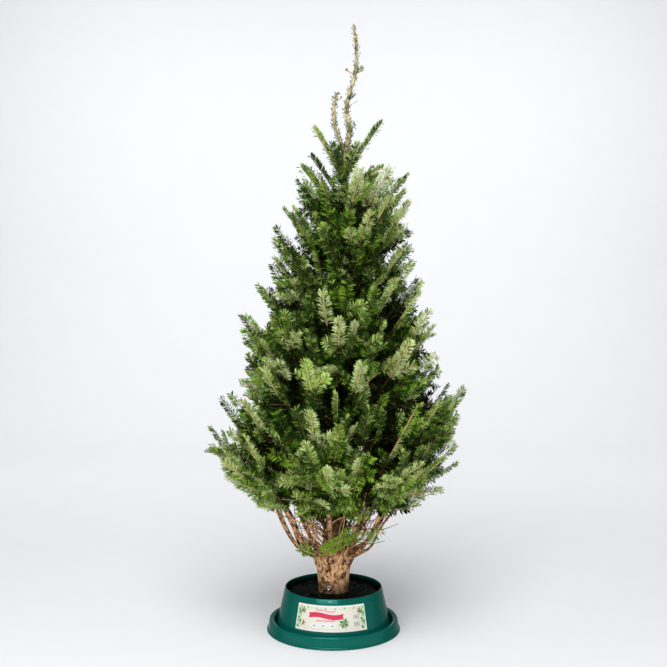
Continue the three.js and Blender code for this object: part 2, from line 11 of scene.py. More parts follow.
import bmesh
import bpy
import numpy as np
from bpy.props import FloatProperty, FloatVectorProperty, IntProperty, PointerProperty
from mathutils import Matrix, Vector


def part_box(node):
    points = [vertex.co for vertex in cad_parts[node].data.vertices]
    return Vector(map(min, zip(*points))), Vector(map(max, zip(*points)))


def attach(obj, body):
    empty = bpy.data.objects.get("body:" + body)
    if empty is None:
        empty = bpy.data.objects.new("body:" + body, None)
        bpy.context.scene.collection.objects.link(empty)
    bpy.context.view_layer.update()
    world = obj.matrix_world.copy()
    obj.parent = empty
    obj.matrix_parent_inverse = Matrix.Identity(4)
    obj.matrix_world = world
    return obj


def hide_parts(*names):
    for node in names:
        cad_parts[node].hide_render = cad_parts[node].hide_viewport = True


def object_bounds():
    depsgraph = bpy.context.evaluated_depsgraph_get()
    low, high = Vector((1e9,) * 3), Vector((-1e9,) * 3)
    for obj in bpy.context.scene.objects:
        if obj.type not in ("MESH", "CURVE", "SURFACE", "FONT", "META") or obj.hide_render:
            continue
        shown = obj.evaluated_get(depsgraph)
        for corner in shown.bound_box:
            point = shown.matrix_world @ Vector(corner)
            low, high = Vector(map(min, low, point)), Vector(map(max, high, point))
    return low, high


bl_info = {
    "name": "Fir tree in a stand",
    "version": (1, 0, 0),
    "blender": (4, 5, 0),
    "location": "3D View > Sidebar > Fir tree",
    "description": "Builds the bark, twigs, needles and stand of a cut fir round its packed frame",
    "category": "Object",
}

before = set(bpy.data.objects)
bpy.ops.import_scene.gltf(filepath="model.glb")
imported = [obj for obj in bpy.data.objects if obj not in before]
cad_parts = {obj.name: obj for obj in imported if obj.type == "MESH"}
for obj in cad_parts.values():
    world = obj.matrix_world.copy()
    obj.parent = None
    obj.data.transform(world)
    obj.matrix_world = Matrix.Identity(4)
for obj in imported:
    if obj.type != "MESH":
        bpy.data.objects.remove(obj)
CAD_BOX = [list(corner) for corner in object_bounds()]

MM = 0.001
FULL_TURN = 2 * math.pi
WELD_DISTANCE = 1e-6

# ---------------------------------------------------------------- the crown's frame, as in the source

TRUNK_LINE = MM * np.array([
    [0, 0, 8.6], [0, 0, 150], [4, 0, 260], [11, 3, 420], [14, 6, 700], [20, 4, 1000], [26, 0, 1250],
    [33, -2, 1480], [41, -4, 1576], [53, 0, 1648], [43, 2, 1717], [51, 0, 1766], [71, -3, 1834],
    [76, -2, 1900], [72, 0, 1957], [67, 0, 1997],
])
TRUNK_RADIUS = MM * np.array([
    [0, 50], [150, 50], [205, 54], [238, 59], [264, 50], [292, 37], [420, 31], [700, 24], [1000, 17.5],
    [1250, 12], [1450, 8], [1600, 5.5], [1800, 4.5], [1960, 3.8], [1997, 1.6],
])
SHELL_SLOPE = 1.05
OUTLINE_RIGHT = MM * np.array([
    [400, 200], [440, 330], [500, 380], [640, 415], [755, 435], [860, 348], [1020, 350], [1130, 295],
    [1290, 256], [1400, 240], [1500, 200], [1600, 120],
])
OUTLINE_LEFT = MM * np.array([
    [400, 210], [440, 310], [540, 405], [640, 430], [755, 375], [860, 335], [1020, 326], [1130, 288],
    [1290, 236], [1500, 150], [1600, 110],
])
AXIS_TOP = 1.480
# Tiers: height where the boughs leave the trunk, number of masses, azimuth of the first in degrees.
TIERS = [
    (0.375, 6, 284), (0.530, 5, 252), (0.690, 5, 268), (0.850, 4, 240), (1.010, 4, 285), (1.165, 4, 240),
    (1.310, 4, 283),
]
TIER_RISE = 0.155
# Bare limbs: azimuth, height on the trunk, radius at each end, uprightness, drop of the foliage on it.
LIMBS = [
    (3, 0.240, 0.0080, 0.0060, 0.35, 0.000),
    (47, 0.252, 0.0075, 0.0055, 0.30, 0.000),
    (92, 0.238, 0.0075, 0.0055, 0.00, 0.000),
    (138, 0.250, 0.0075, 0.0055, 0.10, 0.020),
    (178, 0.230, 0.0075, 0.0055, 0.00, 0.048),
    (214, 0.246, 0.0075, 0.0055, 0.10, 0.030),
    (260, 0.250, 0.0100, 0.0065, 0.75, -0.045),
    (318, 0.236, 0.0075, 0.0055, 0.20, -0.008),
]
LIMB_SPREAD = MM * np.array([[30, -8], [62, 6], [114, 32], [168, 100], [203, 172]])
LIMB_UPRIGHT = MM * np.array([[30, -8], [58, 16], [74, 60], [96, 112], [136, 166]])
# The top whorl and the short shoots under it: azimuth, root height, tip distance and tip height.
TOP_SHOOTS = [
    (4, 1.478, 0.125, 1.675), (182, 1.474, 0.099, 1.658), (92, 1.466, 0.088, 1.612),
    (244, 1.458, 0.092, 1.590), (318, 1.490, 0.062, 1.598), (188, 1.400, 0.108, 1.562),
    (352, 1.440, 0.128, 1.524), (20, 1.400, 0.120, 1.505), (205, 1.340, 0.150, 1.520),
]
SECOND_LEADER = MM * np.array([
    [40, -4, 1566], [30, -3, 1600], [15, -2, 1632], [3, -2, 1679], [1, 0, 1725], [9, 0, 1772],
])


def unit(v):
    """v / |v|, row by row."""
    return v / np.maximum(np.linalg.norm(v, axis=-1, keepdims=True), 1e-12)


def at(table, x):
    """The value at x of a table of rows (place, value), straight between its rows."""
    return np.interp(x, table[:, 0], table[:, 1])


def through(knots, x, count=None):
    """A smooth curve through rows of knots: cubic Hermite pieces whose slope at each knot is the slope from
    the knot before to the knot after. x runs over the knots' parameters, or 0 to 1 with count samples."""
    if count is not None:
        span = np.linalg.norm(np.diff(knots, axis=0), axis=1)
        place = np.concatenate([[0], np.cumsum(span)])
        return through(np.column_stack([place, knots]), np.linspace(0, place[-1], count))
    t, v = knots[:, 0], knots[:, 1:]
    slope = np.gradient(v, t, axis=0)
    i = np.clip(np.searchsorted(t, x) - 1, 0, len(t) - 2)
    h = (t[i + 1] - t[i])[..., None]
    s = ((np.asarray(x) - t[i])[..., None]) / h
    return ((1 + 2 * s) * (1 - s) ** 2 * v[i] + s * (1 - s) ** 2 * h * slope[i]
            + s ** 2 * (3 - 2 * s) * v[i + 1] + s ** 2 * (s - 1) * h * slope[i + 1])


def trunk_centre(z):
    """The trunk's centre at each height."""
    xy = through(TRUNK_LINE[:, [2, 0, 1]], z)
    return np.column_stack([xy, z])


def crown_axis(z):
    """The crown's upright axis at a height: the trunk's line, frozen above the last whorl."""
    level = np.minimum(z, AXIS_TOP)
    x = np.interp(level, TRUNK_LINE[:, 2], TRUNK_LINE[:, 0])
    y = np.interp(level, TRUNK_LINE[:, 2], TRUNK_LINE[:, 1])
    return np.stack([x, y, z + 0 * x], axis=-1)


def crown_point(distance, azimuth, z):
    """The point at a distance from the axis, an azimuth in degrees and a height."""
    a = np.radians(azimuth)
    return crown_axis(z) + np.stack([np.cos(a) * distance, np.sin(a) * distance, 0 * z * distance], -1)


def crown_reach(z, azimuth):
    """The outline's distance from the axis: left and right tables blended by (1 + cos azimuth) / 2."""
    share = (1 + np.cos(np.radians(azimuth))) / 2
    left = at(OUTLINE_LEFT, z)
    right = at(OUTLINE_RIGHT, z)
    return left + (right - left) * share


def tip_distance(shell, azimuth):
    """Where a line rising at the shells' slope meets the outline, by repeated halving."""
    distance = 0.25
    for _ in range(24):
        distance = (distance + crown_reach(shell + SHELL_SLOPE * distance, azimuth)) / 2
    return distance


def limb_path(azimuth, height, upright):
    """The points of a bare limb, between the spreading and the upright profile."""
    profile = LIMB_SPREAD + (LIMB_UPRIGHT - LIMB_SPREAD) * upright
    return np.array([crown_point(d, azimuth, height + rise) for d, rise in profile])


# ---------------------------------------------------------------- settings


class FirCrownSettings(bpy.types.PropertyGroup):
    """Sizes and colours of shoots, needles and bark."""

    needle_length: FloatProperty(
        name="Needle length", description="Length of a full needle", default=0.0265, unit="LENGTH")
    needle_width: FloatProperty(
        name="Needle width", description="Greatest width of a needle", default=0.0028, unit="LENGTH")
    needles_per_metre: FloatProperty(
        name="Needles per metre", description="Needles on a metre of young shoot", default=1620.0)
    shoot_length: FloatProperty(
        name="Shoot length", description="One year's growth of a bough", default=0.090, unit="LENGTH")
    boughs_per_mass: IntProperty(
        name="Boughs per mass", description="Boughs in each mass of foliage on the trunk", default=5)
    seed: IntProperty(name="Seed", description="Seed of all random growth", default=11)
    bark_light: FloatVectorProperty(
        name="Light bark", description="Light patches of the bark", default=(0.86, 0.49, 0.255),
        subtype="COLOR")
    bark_dark: FloatVectorProperty(
        name="Dark bark", description="Dark patches of the bark", default=(0.046, 0.017, 0.006),
        subtype="COLOR")
    twig_fresh: FloatVectorProperty(
        name="Fresh twig", description="Skin of this year's shoots", default=(0.70, 0.50, 0.23),
        subtype="COLOR")
    # The young skin also goes on this year's twigs among mid, deep or shade needles; among deep and shade
    # ones it is painted shade.
    twig_young_and_shaded: FloatVectorProperty(
        name="Young twig", description="Skin of last years' shoots", default=(0.150, 0.100, 0.040),
        subtype="COLOR")
    twig_old: FloatVectorProperty(
        name="Old twig", description="Skin of older twigs", default=(0.13, 0.075, 0.036), subtype="COLOR")
    leader_light: FloatVectorProperty(
        name="Leader", description="Skin of the leaders", default=(0.60, 0.51, 0.275), subtype="COLOR")


class FirStandSettings(bpy.types.PropertyGroup):
    """Sizes and colours of the stand."""

    green: FloatVectorProperty(
        name="Plastic", description="Colour of the stand's plastic", default=(0.0010, 0.084, 0.064),
        subtype="COLOR")
    roughness: FloatProperty(
        name="Plastic roughness", description="Roughness of the stand's plastic", default=0.16,
        subtype="FACTOR")
    band_height: FloatProperty(
        name="Rim band", description="Height of the smooth band under the pot's rim", default=0.018,
        unit="LENGTH")


class FirStudioSettings(bpy.types.PropertyGroup):
    """The camera, the floor and the lights."""

    distance: FloatProperty(
        name="Camera distance", description="From the trunk's foot to the camera", default=3.115,
        unit="LENGTH")
    height: FloatProperty(
        name="Camera height", description="Above the floor", default=1.03, unit="LENGTH")
    lens: FloatProperty(name="Lens", description="Focal length in millimetres", default=50.7)
    pitch: FloatProperty(name="Pitch", description="Degrees below level", default=0.91)
    sky: FloatProperty(name="Room light", description="Strength of the even light", default=0.40)
    key: FloatProperty(name="Key light", description="Power of the main light in watts", default=171.0)


# ---------------------------------------------------------------- meshes from arrays


def weld(mesh):
    """Joins points of a mesh that lie in one place, so that its poles and seams are closed."""
    shell = bmesh.new()
    shell.from_mesh(mesh)
    bmesh.ops.remove_doubles(shell, verts=shell.verts[:], dist=WELD_DISTANCE)
    shell.to_mesh(mesh)
    shell.free()


def new_piece(name, verts, faces, material, slot, nodes=(), smooth=True):
    """A mesh object from an array of points and an array of faces of one kind, riding on the root. Smooth
    pieces are welded."""
    mesh = bpy.data.meshes.new(name)
    count, sides = faces.shape
    mesh.vertices.add(len(verts))
    mesh.vertices.foreach_set("co", np.ascontiguousarray(verts, np.float32).ravel())
    mesh.loops.add(count * sides)
    mesh.loops.foreach_set("vertex_index", np.ascontiguousarray(faces, np.int32).ravel())
    mesh.polygons.add(count)
    mesh.polygons.foreach_set("loop_start", np.arange(0, count * sides, sides, dtype=np.int32))
    mesh.polygons.foreach_set("use_smooth", np.full(count, smooth))
    mesh.update(calc_edges=True)
    mesh.validate()
    if smooth:
        weld(mesh)
    piece = bpy.data.objects.new(name, mesh)
    bpy.context.scene.collection.objects.link(piece)
    mesh.materials.append(material)
    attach(piece, "root")
    if nodes:
        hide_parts(*nodes)
    return piece


def grid_faces(rows, columns, closed=True):
    """Quads of a grid of points stored row by row, joined round its columns where closed."""
    span = columns if closed else columns - 1
    r, c = np.meshgrid(np.arange(rows - 1), np.arange(span), indexing="ij")
    a = (r * columns + c).ravel()
    b = (r * columns + (c + 1) % columns).ravel()
    return np.column_stack([a, b, b + columns, a + columns])


def revolved(profile, steps):
    """Surface of revolution: (r cos a, r sin a, z) for each profile row (r, z). Rows on the axis close it."""
    angle = np.arange(steps) / steps * FULL_TURN
    r, z = profile[:, 0][:, None], profile[:, 1][:, None]
    points = np.stack([r * np.cos(angle), r * np.sin(angle), z + 0 * angle], axis=-1)
    return points.reshape(-1, 3), grid_faces(len(profile), steps)


def rounded(corners, radius, steps=5):
    """A profile with its inner corners rounded: each is replaced by a quadratic arc between points that lie
    the radius before and after it on its two sides, or half the side where that is shorter."""
    rows = [corners[0]]
    for before, corner, after in zip(corners[:-2], corners[1:-1], corners[2:]):
        before, corner, after = map(np.array, (before, corner, after))
        span_in, span_out = np.linalg.norm(before - corner), np.linalg.norm(after - corner)
        start = corner + (before - corner) / span_in * min(radius, span_in / 2)
        end = corner + (after - corner) / span_out * min(radius, span_out / 2)
        t = np.linspace(0, 1, steps)[:, None]
        rows.extend((1 - t) ** 2 * start + 2 * t * (1 - t) * corner + t ** 2 * end)
    rows.append(corners[-1])
    return np.array(rows)


def swept(path, radius, sides, ripple=0.0, phase=0.0):
    """A tube along a path: centre + radius (u cos a + v sin a), closed by shrinking its two ends to points.
    ripple roughens the radius by a sum of sines of the angle and the length along the path."""
    along = np.gradient(path, axis=0)
    along = unit(along)
    reference = np.where(np.abs(along[:, 2:]) < 0.9, [[0.0, 0.0, 1.0]], [[1.0, 0.0, 0.0]])
    u = unit(np.cross(reference, along))
    v = np.cross(along, u)
    angle = np.arange(sides) / sides * FULL_TURN
    length = np.concatenate([[0], np.cumsum(np.linalg.norm(np.diff(path, axis=0), axis=1))])[:, None]
    wave = (np.sin(3 * angle + 190 * length + phase) + np.sin(5 * angle - 310 * length + 2 * phase)
            + np.sin(2 * angle + 470 * length + 3 * phase) + np.sin(7 * angle + 830 * length)) / 2
    r = radius[:, None] * (1 + ripple * wave)
    points = path[:, None] + r[..., None] * (
        u[:, None] * np.cos(angle)[None, :, None] + v[:, None] * np.sin(angle)[None, :, None])
    ends = np.stack([np.repeat(path[:1], sides, 0), np.repeat(path[-1:], sides, 0)])
    points = np.concatenate([ends[:1], points, ends[1:]])
    return points.reshape(-1, 3), grid_faces(len(path) + 2, sides)


def joined(parts):
    """One mesh of several, given as (points, faces)."""
    points, faces, start = [], [], 0
    for p, f in parts:
        points.append(p)
        faces.append(f + start)
        start += len(p)
    return np.concatenate(points), np.concatenate(faces)


def prisms(p, q, up, r0, r1, sides=3):
    """A closed tapering prism for every row: ring points p + r0 (w cos a + n sin a) and the same at q with
    r1, where w and n are square to q - p. Triangles join the rings, and fans cap them."""
    along = unit(q - p)
    w = unit(np.cross(along, up))
    n = np.cross(w, along)
    angle = np.arange(sides) / sides * FULL_TURN + math.pi / 2
    ring = w[:, None] * np.cos(angle)[None, :, None] + n[:, None] * np.sin(angle)[None, :, None]
    low = p[:, None] + ring * r0[:, None, None]
    high = q[:, None] + ring * r1[:, None, None]
    points = np.concatenate([low, high], axis=1).reshape(-1, 3)
    base = (np.arange(len(p)) * 2 * sides)[:, None]
    k = np.arange(sides)
    quads = np.stack([k, (k + 1) % sides, (k + 1) % sides + sides, k + sides], axis=-1)
    fan = np.arange(1, sides - 1)
    cap = np.column_stack([0 * fan, fan + 1, fan])
    tris = np.concatenate([quads[:, [2, 1, 0]], quads[:, [3, 2, 0]], cap[:, ::-1], cap + sides])
    return points, (base[:, :, None] + tris[None]).reshape(-1, 3)


# ---------------------------------------------------------------- growth of the crown

# Columns of a shoot's row: start, end, upper side, age in years, order of branching, tint, and depth in
# the crown.
SHOOT = {
    "p": slice(0, 3), "q": slice(3, 6), "up": slice(6, 9), "age": 9, "order": 10, "tint": 11, "depth": 12,
}
TINTS = ("shade", "deep", "mid", "fresh", "pale", "gold")
SHADE, DEEP, MID, FRESH, PALE, GOLD = range(len(TINTS))
LIT = [DEEP, MID, FRESH, PALE]  # the tints that shoots and single needles are moved among
LAST_ORDER = 3
BRUSH = 4  # the order given to shoots whose needles stand up all over the upper side
SHADE_DEPTH = 0.110
TIP_OVER = 0.004
OUTLINE_OVER = 0.018
# Lowest shoot ends: on the limbs behind and to the right, on the other limbs, and on the trunk's boughs.
FLOOR_BEHIND, FLOOR_FRONT, FLOOR_TRUNK = 0.390, 0.425, 0.400
# Highest shoot ends: below the top whorl, and in it.
CAP_CROWN, CAP_TOP = 1.585, 1.700
# How side shoots leave their node: angle, share of them missing near the outline, deeper in, and above or
# below the node, and how deep the outer part of the crown is.
LATERAL_ANGLE = math.radians(48)
MISSING_OUTER, MISSING_INNER, MISSING_UPRIGHT = 0.15, 0.50, 0.74
OUTER_PART = 0.10
# How a side shoot grows: upward turn each year, wobble, shorter last try, and step of the next order.
TURN_UP, WOBBLE, SHORT_STEP, NEXT_STEP = 0.15, 0.05, 0.7, 0.88
# Growth of a bough: the last two years' lead, and the chance that side shoots keep its tint.
LAST_YEARS = [1.40, 1.12]
SAME_TINT_NODE, SAME_TINT_SHOOT, SAME_TINT_TOP = 0.60, 0.55, 0.70
BOUGH_TINTS = ([DEEP, MID, FRESH, PALE, GOLD], [0.18, 0.30, 0.27, 0.22, 0.03])
# Boughs on each bare limb: height of the tip, and its place between the neighbouring limbs from -1 to 1.
LIMB_BOUGHS = [(0.70, 0.3), (0.62, -0.4), (0.58, 0.45), (0.545, 0.05), (0.485, -0.35), (0.445, 0.4)]
LIMB_BARE = 0.16  # boughs on limbs bear no side shoots nearer than this to the trunk
TOP_STEP = 0.062
TOP_TINTS = (MID, FRESH, DEEP, DEEP, MID, DEEP, FRESH, MID, MID)
OUT_RISE = 0.35  # how much the outward direction leans upwards
# Share of the shoots of each tint whose upper side is turned away from the trunk.
TURNED_SHARE = np.array([0.8, 0.8, 0.72, 0.35, 0.0, 0.0])
# By height: how much farther in than SHADE_DEPTH the painted shade starts, the share of shoots behind the
# outline given the deep tint as painted shade, and the share made a tint lighter as painted light.
SHADE_START = np.array([[0.60, 0.024], [0.78, -0.008], [1.08, -0.008], [1.25, 0.010]])
PAINTED_SHADE_SHARE = np.array([[0.60, 0.10], [0.80, 0.76], [1.05, 0.76], [1.25, 0.60]])
PAINTED_LIGHT_SHARE = np.array([[0.62, 0.5], [0.80, 0.0]])
# By depth: how much of the painted shade share holds.
PAINTED_SHADE_BY_DEPTH = np.array([[0.02, 0.0], [0.075, 1.0]])
# Sprigs low on the limbs and stubs on the leaders: start, end, upper side, tint.
SPRIGS = [
    # The first three sprigs get the gold tint, lighter than their own green: painted light against the shade
    # they lie in.
    ((0.060, -0.088, 0.330), (-0.008, -0.112, 0.292), (0.1, -0.9, 0.4), GOLD),
    ((0.066, -0.084, 0.345), (0.030, -0.120, 0.330), (0.2, -0.8, 0.5), GOLD),
    ((0.030, -0.105, 0.318), (-0.030, -0.105, 0.282), (0.0, -0.6, 0.8), GOLD),
    ((0.058, -0.090, 0.322), (0.118, -0.118, 0.330), (0.0, -0.7, 0.7), FRESH),
    ((0.112, -0.100, 0.318), (0.158, -0.122, 0.352), (0.1, -0.7, 0.7), PALE),
    ((-0.056, -0.070, 0.262), (-0.106, -0.094, 0.284), (0.0, -0.6, 0.8), PALE),
    ((-0.070, -0.066, 0.290), (-0.108, -0.070, 0.272), (0.0, -0.8, 0.6), FRESH),
    ((0.072, -0.003, 1.836), (0.095, -0.012, 1.846), (0.0, -0.5, 0.9), MID),
    ((0.049, -0.001, 1.748), (0.064, -0.010, 1.758), (0.0, -0.5, 0.9), DEEP),
    ((0.052, 0.000, 1.640), (0.070, -0.020, 1.664), (0.0, -0.7, 0.7), MID),
    ((0.034, -0.004, 1.500), (0.072, -0.040, 1.572), (0.5, -0.2, 0.9), DEEP),
    ((0.036, -0.004, 1.510), (0.012, -0.030, 1.590), (-0.6, -0.2, 0.8), DEEP),
]
# Sprays that hang in front of the trunk under the crown.
FRINGE = {"span": (-0.110, 0.070), "count": 17, "front": -0.115, "high": 0.440}
FOLIAGE_NODES = [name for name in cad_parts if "mass" in name or name == "second_leader"]


def crown_depth(q):
    """How far a point lies inside the crown's outline, square to the axis."""
    axis = crown_axis(q[2])
    azimuth = math.degrees(math.atan2(q[1] - axis[1], q[0] - axis[0]))
    return crown_reach(q[2], azimuth) - math.hypot(q[0] - axis[0], q[1] - axis[1])


def twisted(v, axis, angle):
    """v turned about an axis square to it by an angle."""
    return v * math.cos(angle) + np.cross(axis, v) * math.sin(angle)


def boxed(q):
    """A point moved sideways, where it has to be, into the solids' box widened by a little."""
    low, high = np.array(CAD_BOX)
    return np.array([*np.clip(q[:2], low[:2] - TIP_OVER, high[:2] + TIP_OVER), q[2]])


class Growth:
    """Collects the shoots of the crown as they grow."""

    def __init__(self, settings):
        """Starts with no shoots, below the top whorl and over the lowest shoots of the trunk's boughs."""
        self.rows = []
        self.rng = np.random.default_rng(settings.seed)
        self.step = settings.shoot_length
        self.cap = CAP_CROWN
        self.floor = FLOOR_TRUNK

    def fits(self, q):
        """Whether a shoot's end lies within the crown's outline, under the cap and over the floor."""
        inside = self.floor < q[2] < self.cap and crown_depth(q) > -OUTLINE_OVER
        return inside and np.allclose(q, boxed(q))

    def whorl(self, q, heading, up, years, step, order, tint):
        """Side shoots at a node: one to each side of the shoot that bears them, and now and then one on its
        upper or lower side. Each leans forward by the lateral angle, tilted a little out of the plane."""
        rng = self.rng
        side = np.cross(heading, up)
        missing = MISSING_OUTER if crown_depth(q) < OUTER_PART else MISSING_INNER
        for hand, flat in ((-1, True), (1, True), (1 if rng.random() < 0.6 else -1, False)):
            if rng.random() < (missing if flat else MISSING_UPRIGHT):
                continue
            angle = LATERAL_ANGLE * rng.uniform(0.8, 1.16)
            across = twisted(side * hand, heading, rng.normal(0, 0.26)) if flat else up * hand
            lateral = heading * math.cos(angle) + across * math.sin(angle)
            face = up if flat else heading * -hand
            face = unit(face - lateral * np.dot(face, lateral))
            face = twisted(face, lateral, rng.normal(0, 0.5))
            own = tint if rng.random() < SAME_TINT_SHOOT else rng.choice(LIT)
            self.side_shoot(q, lateral, face, years if flat else 1, step, order, own)

    def side_shoot(self, p, heading, up, years, step, order, tint):
        """Grows a side shoot year by year. Its tip turns up a little each year, and every node but the last
        bears a whorl of shoots of the next order."""
        rng = self.rng
        for age in range(years - 1, -1, -1):
            heading = unit(heading + [0, 0, TURN_UP] + rng.normal(0, WOBBLE, 3))
            up = unit(up - heading * np.dot(up, heading))
            q = p + heading * step * rng.uniform(0.84, 1.14)
            if not self.fits(q):
                q = p + heading * step * SHORT_STEP
                if not self.fits(q):
                    return
            self.rows.append([*p, *q, *up, age, order, tint, crown_depth(q)])
            if age and order < LAST_ORDER:
                years_on = min(age, 2 if order == 1 else 1)
                self.whorl(q, heading, up, years_on, step * NEXT_STEP, order + 1, tint)
            p = q

    def inner_sprigs(self, p, q, count):
        """Short shaded sprigs that stand out of an inner length of bough on all sides."""
        rng = self.rng
        along = unit(q - p)
        for _ in range(count):
            start = p + (q - p) * rng.random()
            out = unit(np.cross(along, rng.normal(0, 1, 3)))
            heading = unit(out + along * rng.uniform(0.2, 0.9))
            end = start + heading * rng.uniform(0.045, 0.085)
            if not self.floor < end[2] < self.cap or crown_depth(end) < 0.03:
                continue
            face = unit(np.cross(heading, rng.normal(0, 1, 3)))
            self.rows.append([*start, *end, *face, 1, LAST_ORDER, SHADE, SHADE_DEPTH + 0.01])

    def bough(self, path, roll, most_years=3, tint=None, bare=0.05, sprigs=3):
        """Grows a bough along a path. Its nodes are counted back from the tip, a year's growth apart, and
        each bears a whorl of side shoots as old as the node."""
        rng = self.rng
        line = through(path, None, 60)
        span = np.concatenate([[0], np.cumsum(np.linalg.norm(np.diff(line, axis=0), axis=1))])
        yearly = self.step * rng.uniform(0.88, 1.16, 14)
        yearly[:2] *= LAST_YEARS
        back = np.concatenate([[0], np.cumsum(yearly)])
        places = span[-1] - back[back < span[-1] - 0.02]
        nodes = np.column_stack([np.interp(places, span, line[:, i]) for i in range(3)])
        nodes = np.vstack([nodes, line[:1]])
        if tint is None:
            tint = rng.choice(BOUGH_TINTS[0], p=BOUGH_TINTS[1])
        for age in range(len(nodes) - 1):
            q, p = nodes[age], nodes[age + 1]
            heading = unit(q - p)
            side = unit(np.cross(heading, [0, 0, 1]))
            up = twisted(np.cross(side, heading), heading, roll)
            depth = crown_depth(q)
            self.rows.append([*p, *q, *up, age, 0, tint, depth])
            if depth > 0.08:
                self.inner_sprigs(p, q, sprigs)
            if age == 0 or math.hypot(q[0], q[1]) < bare or most_years == 0:
                continue
            own = tint if rng.random() < SAME_TINT_NODE else rng.choice(LIT)
            self.whorl(q, heading, up, min(age, most_years), self.step * rng.uniform(0.84, 1.0), 1, own)


def fork_path(start, heading, tip):
    """Start, on along the heading, a middle that hangs a little, and the tip."""
    length = np.linalg.norm(tip - start)
    early = start + heading * 0.14 * length
    middle = early + (tip - early) * 0.55
    middle[2] -= 0.04 * length
    return np.array([start, early, middle, tip])


def climb_path(root, distance, azimuth, tip_z, sag):
    """A path from the trunk to a tip: straight, less a sag of sin(pi t), at four places."""
    t = np.array([0, 0.3, 0.62, 1])
    z = root + (tip_z - root) * t - sag * distance * np.sin(math.pi * t)
    return crown_point(distance * t, azimuth, z)


def turned_out(rows, rng):
    """Turns the upper side of most dark shoots away from the trunk, so that their needles hide the twig: the
    upper side becomes the part of the outward direction that is square to the shoot, give or take a turn."""
    p, q = rows[:, SHOOT["p"]], rows[:, SHOOT["q"]]
    along = unit(q - p)
    out = (p + q) / 2 - crown_axis((p + q)[:, 2] / 2)
    out = unit(unit(out) + [0, 0, OUT_RISE])
    face = out - along * np.sum(out * along, axis=1, keepdims=True)
    clear = np.linalg.norm(face, axis=1) > 0.12
    face = unit(face)
    turn = rng.normal(0, 0.5, len(rows))[:, None]
    face = face * np.cos(turn) + np.cross(along, face) * np.sin(turn)
    share = TURNED_SHARE[rows[:, SHOOT["tint"]].astype(int)]
    chosen = clear & (rng.random(len(rows)) < share)
    rows[:, SHOOT["up"]] = np.where(chosen[:, None], face, rows[:, SHOOT["up"]])
    return rows


def limb_boughs(growth):
    """Grows the boughs of every bare limb, fanned out between its neighbours."""
    rng = growth.rng
    for i, (azimuth, height, _, _, upright, drop) in enumerate(LIMBS):
        path = limb_path(azimuth, height, upright)
        start, heading = path[-1], unit(path[-1] - path[-2])
        before, after = LIMBS[i - 1][0], LIMBS[(i + 1) % len(LIMBS)][0]
        low, high = azimuth - (azimuth - before) % 360 / 2, azimuth + (after - azimuth) % 360 / 2
        growth.floor = FLOOR_BEHIND if 60 < azimuth < 190 or azimuth < 40 else FLOOR_FRONT
        for z, spread in LIMB_BOUGHS:
            tip_z = z - 0.6 * drop + rng.uniform(-0.02, 0.02)
            turn = (low + high) / 2 + spread * (high - low) / 2 + rng.uniform(-5, 5)
            distance = crown_reach(tip_z, turn) * rng.uniform(0.90, 1.03)
            tip = boxed(crown_point(distance, turn, tip_z))
            growth.bough(fork_path(start, heading, tip), rng.normal(0, 0.45), bare=LIMB_BARE)


def tier_boughs(growth, per_mass):
    """Grows the boughs of the seven tiers from the trunk."""
    rng = growth.rng
    growth.floor = FLOOR_TRUNK
    for root, count, first in TIERS:
        boughs = count * per_mass
        for i in range(boughs):
            azimuth = first + 360 / boughs * (i + rng.uniform(-0.3, 0.3))
            level = root + TIER_RISE * (rng.uniform(-0.5, 0.5) if i % 2 else rng.uniform(-0.15, 0.15))
            distance = tip_distance(level, azimuth) * rng.uniform(0.86, 1.04)
            path = climb_path(level, distance, azimuth, level + SHELL_SLOPE * distance, 0.1)
            path[-1] = boxed(path[-1])
            growth.bough(path, rng.normal(0, 0.5))


def top_whorl(growth):
    """Grows the top shoots, which bear no side shoots and carry needles all over their upper side."""
    growth.cap = CAP_TOP
    growth.step = TOP_STEP
    for (azimuth, root, distance, tip), tint in zip(TOP_SHOOTS, TOP_TINTS):
        first = len(growth.rows)
        growth.bough(climb_path(root, distance, azimuth, tip, -0.06), 0.0, most_years=0, tint=tint, sprigs=0)
        for row in growth.rows[first:]:
            row[SHOOT["age"]], row[SHOOT["order"]], row[SHOOT["depth"]] = 0, BRUSH, 0
            row[SHOOT["tint"]] = tint if growth.rng.random() < SAME_TINT_TOP else MID


def loose_sprays(growth):
    """Adds the sprigs low on the limbs and on the leaders, and the fringe that hangs under the crown."""
    rng = growth.rng
    for start, end, side, tint in SPRIGS:
        growth.rows.append([*start, *end, *side, 0, LAST_ORDER, tint, 0])
    for x in np.linspace(*FRINGE["span"], FRINGE["count"]):
        start = np.array([x, FRINGE["front"] + rng.uniform(-0.02, 0.03), FRINGE["high"]])
        end = start + [rng.uniform(-0.045, 0.045), rng.uniform(-0.03, 0.01), rng.uniform(-0.050, -0.020)]
        face = unit(np.array([rng.uniform(-0.5, 0.5), -0.8, rng.uniform(0.1, 0.8)]))
        tint = rng.choice([DEEP, DEEP, MID, MID, FRESH])
        growth.rows.append([*start, *end, *face, 0, LAST_ORDER, tint, 0])


@functools.lru_cache(maxsize=1)
def crown_shoots():
    """Grows the whole crown once and returns its shoots as one array."""
    settings = bpy.context.scene.fir_crown
    growth = Growth(settings)
    limb_boughs(growth)
    tier_boughs(growth, settings.boughs_per_mass)
    growth.rows = turned_out(np.array(growth.rows), growth.rng).tolist()
    top_whorl(growth)
    loose_sprays(growth)
    return np.array(growth.rows)


